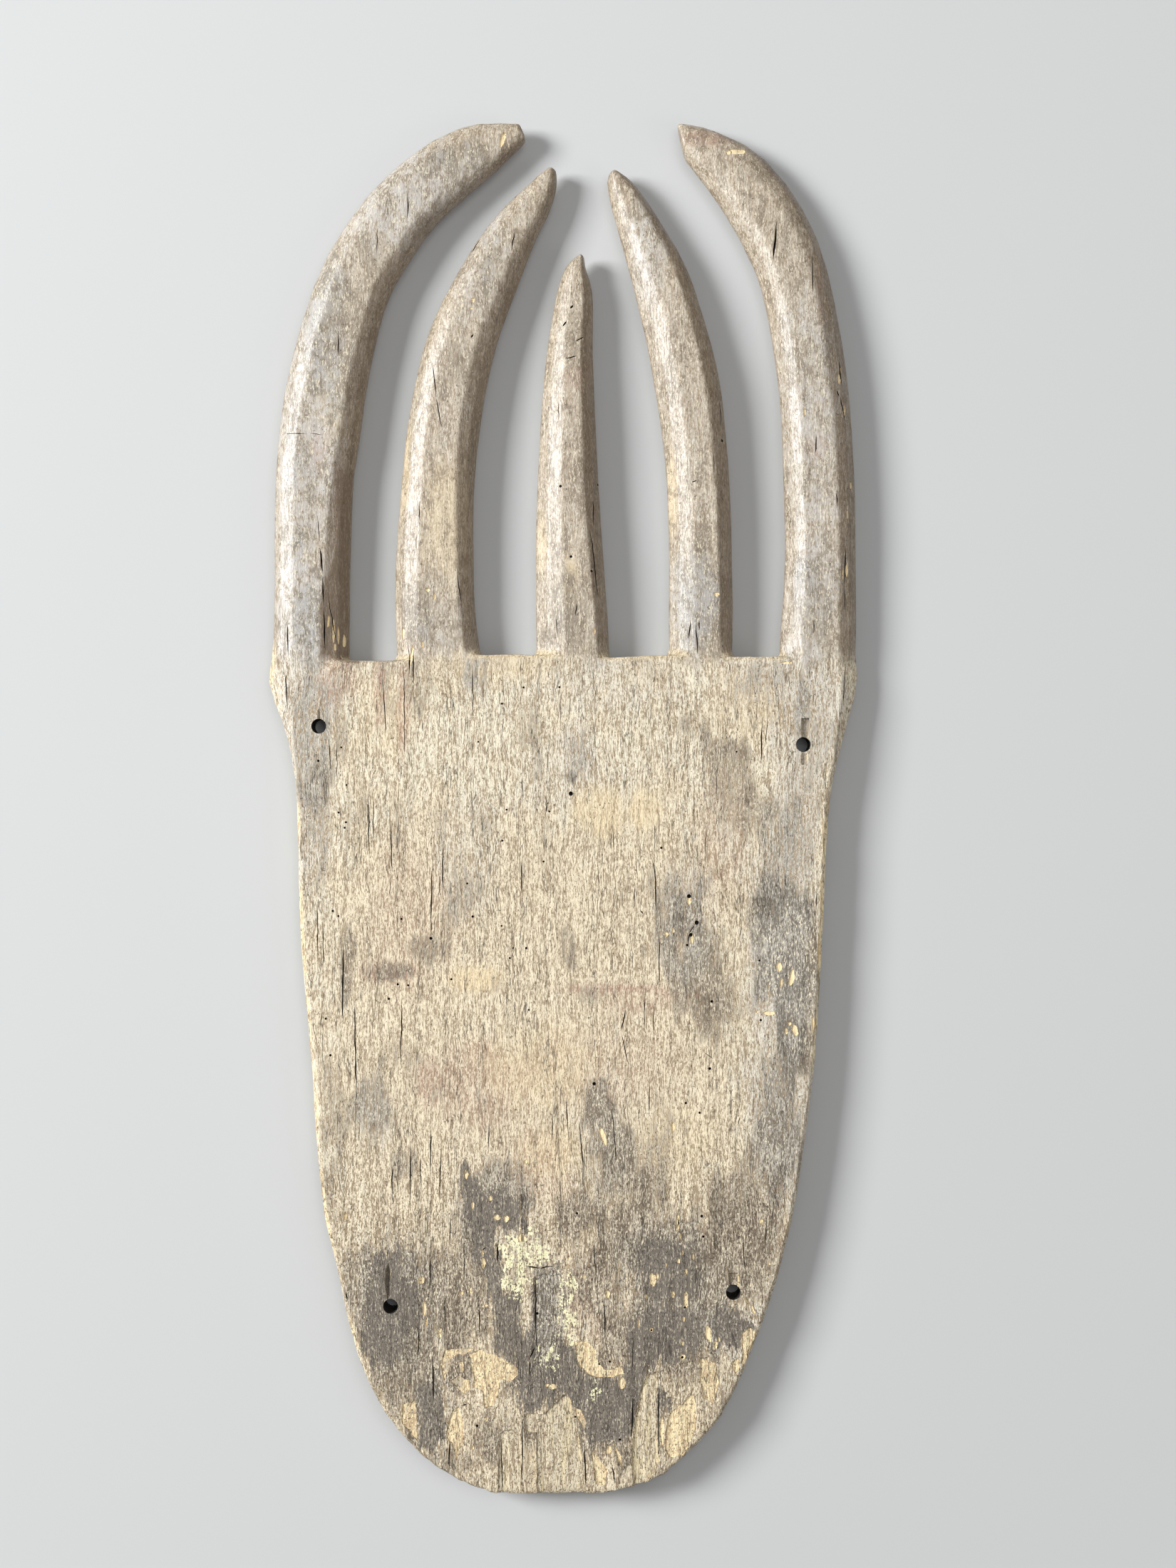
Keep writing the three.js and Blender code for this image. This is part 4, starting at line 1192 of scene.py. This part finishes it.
def lay_floor(stage):
    """A plain pale floor just under the mask"""
    gap = 0.5 * MM
    deselect_all()
    bpy.ops.mesh.primitive_plane_add(size=stage.floor_size, location=(0, 0, -gap))
    floor = bpy.context.object
    floor.name = "floor"
    material = bpy.data.materials.new("Pale floor")
    material.use_nodes = True
    shader = material.node_tree.nodes["Principled BSDF"]
    shader.inputs["Base Color"].default_value = (*stage.floor_colour, 1)
    shader.inputs["Roughness"].default_value = 0.9
    floor.data.materials.append(material)


def add_softbox(name, place, size, power, colour):
    """A square light that faces the middle of the mask"""
    data = bpy.data.lights.new(name, "AREA")
    data.size = size
    data.energy = power
    data.color = colour
    light = link_object(name, data)
    light.location = place
    light.rotation_euler = Vector(place).to_track_quat("Z", "Y").to_euler()


def set_lights(stage):
    """Three softboxes and an even light all round"""
    daylight = (0.95, 0.98, 1.0)
    warm_white = (1.0, 0.97, 0.94)
    add_softbox("key_softbox", (-4.3, 1.34, 3.12), 1.95, stage.key_power, daylight)
    add_softbox("top_softbox", (0.5, 0.6, 2.9), 1.6, stage.top_power, daylight)
    add_softbox("fill_softbox", (2.4, -0.8, 1.8), 1.4, stage.fill_power, warm_white)
    world = bpy.data.worlds.new("Room")
    world.use_nodes = True
    background = world.node_tree.nodes["Background"]
    background.inputs["Color"].default_value = (0.95, 0.97, 1.0, 1)
    background.inputs["Strength"].default_value = stage.room_light
    bpy.context.scene.world = world
    bpy.context.scene.view_settings.view_transform = "Standard"


def set_camera(stage):
    """A camera straight above, whose picture is view_height long at the middle of the wood"""
    data = bpy.data.cameras.new("camera")
    data.sensor_width = 36
    distance = stage.camera_height - stage.middle_height
    data.lens = data.sensor_width * distance / stage.view_height
    camera = link_object("camera", data)
    camera.location = (stage.camera_x, stage.camera_y, stage.camera_height)
    bpy.context.scene.camera = camera


class MASK_OT_carve(bpy.types.Operator):
    """Carve the mask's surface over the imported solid"""

    bl_idname = "mask.carve"
    bl_label = "Carve mask"

    def execute(self, context):
        carving = context.scene.mask_carving
        body = rough_out(carving)
        soften_horns(body, carving.arris_softening)
        carve_relief(body, carving)
        thin_hidden_side(body, carving.hidden_keep)
        mark_faces(body, SURFACE)
        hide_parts(NODE)
        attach(body, "root")
        return {"FINISHED"}


class MASK_OT_chip(bpy.types.Operator):
    """Chip the visible side, and flake its lower end"""

    bl_idname = "mask.chip"
    bl_label = "Chip mask"

    def execute(self, context):
        boring = context.scene.mask_boring
        body = bpy.data.objects[PIECE]
        dice = np.random.default_rng(CHIP_SEED)
        chips = [chip_outline(dice, *chip) for chip in CHIPS]
        shallow = [splintered(outline, dice) for outline in SHALLOW_PATCHES]
        deep = [splintered(outline, dice) for outline in DEEP_PATCHES]
        panel = [splintered(PANEL, dice)]
        panel_depth = 1.5 * boring.chip_depth
        take_off_layer(body, deep, boring.flake_depth, FLAKE)
        take_off_layer(body, shallow, boring.chip_depth, SHALLOW)
        take_off_layer(body, chips, boring.chip_depth, CHIP)
        take_off_layer(body, panel, panel_depth, SURFACE)
        return {"FINISHED"}


class MASK_OT_bore(bpy.types.Operator):
    """Bore the cord holes, and open the grooves, the splits and the worm holes"""

    bl_idname = "mask.bore"
    bl_label = "Bore mask"

    def execute(self, context):
        boring = context.scene.mask_boring
        body = bpy.data.objects[PIECE]
        splits = split_cutters(body)
        worm_holes = worm_hole_cutters(body, boring)
        cut_away(body, groove_cutters(), SURFACE)
        cut_away(body, splits, SOOT_AND_SHADE)
        cut_away(body, worm_holes, SOOT_AND_SHADE)
        cut_away(body, cord_hole_cutters(boring), SOOT_AND_SHADE)
        crease = np.radians(50)
        work_on(body)
        bpy.ops.object.shade_smooth_by_angle(angle=crease)
        return {"FINISHED"}


class MASK_OT_finish(bpy.types.Operator):
    """Store the wear and the painted shade, highlight and sheen on the mask, and give it its wood"""

    bl_idname = "mask.finish"
    bl_label = "Finish mask"

    def execute(self, context):
        body = bpy.data.objects[PIECE]
        store_wear(body)
        body.data.materials.clear()
        body.data.materials.append(wood_material(context.scene.mask_finish))
        return {"FINISHED"}


class MASK_OT_stage(bpy.types.Operator):
    """Lay the floor and set the lights and the camera"""

    bl_idname = "mask.stage"
    bl_label = "Set stage"

    def execute(self, context):
        stage = context.scene.mask_stage
        lay_floor(stage)
        set_lights(stage)
        set_camera(stage)
        return {"FINISHED"}


class MASK_PT_panel(bpy.types.Panel):
    """The settings and the steps, in the sidebar"""

    bl_label = "Horned board mask"
    bl_idname = "MASK_PT_panel"
    bl_space_type = "VIEW_3D"
    bl_region_type = "UI"
    bl_category = "Mask"

    def draw(self, context):
        scene = context.scene
        steps = (
            (scene.mask_carving, ["mask.carve"]),
            (scene.mask_boring, ["mask.chip", "mask.bore"]),
            (scene.mask_finish, ["mask.finish"]),
            (scene.mask_stage, ["mask.stage"]),
        )
        for settings, operators in steps:
            box = self.layout.box()
            for name in settings.bl_rna.properties.keys():
                if name not in {"rna_type", "name"}:
                    box.prop(settings, name)
            for operator in operators:
                box.operator(operator)


SETTINGS = {
    "mask_carving": MaskCarving,
    "mask_boring": MaskBoring,
    "mask_finish": MaskFinish,
    "mask_stage": MaskStage,
}
CLASSES = (
    *SETTINGS.values(), MASK_OT_carve, MASK_OT_chip, MASK_OT_bore, MASK_OT_finish, MASK_OT_stage,
    MASK_PT_panel,
)


def register():
    for each in CLASSES:
        bpy.utils.register_class(each)
    for name, kind in SETTINGS.items():
        setattr(bpy.types.Scene, name, PointerProperty(type=kind))


def unregister():
    for name in SETTINGS:
        delattr(bpy.types.Scene, name)
    for each in reversed(CLASSES):
        bpy.utils.unregister_class(each)


def main():
    register()
    bpy.ops.mask.stage()
    bpy.ops.mask.carve()
    bpy.ops.mask.chip()
    bpy.ops.mask.bore()
    bpy.ops.mask.finish()


if __name__ == "__main__":
    main()
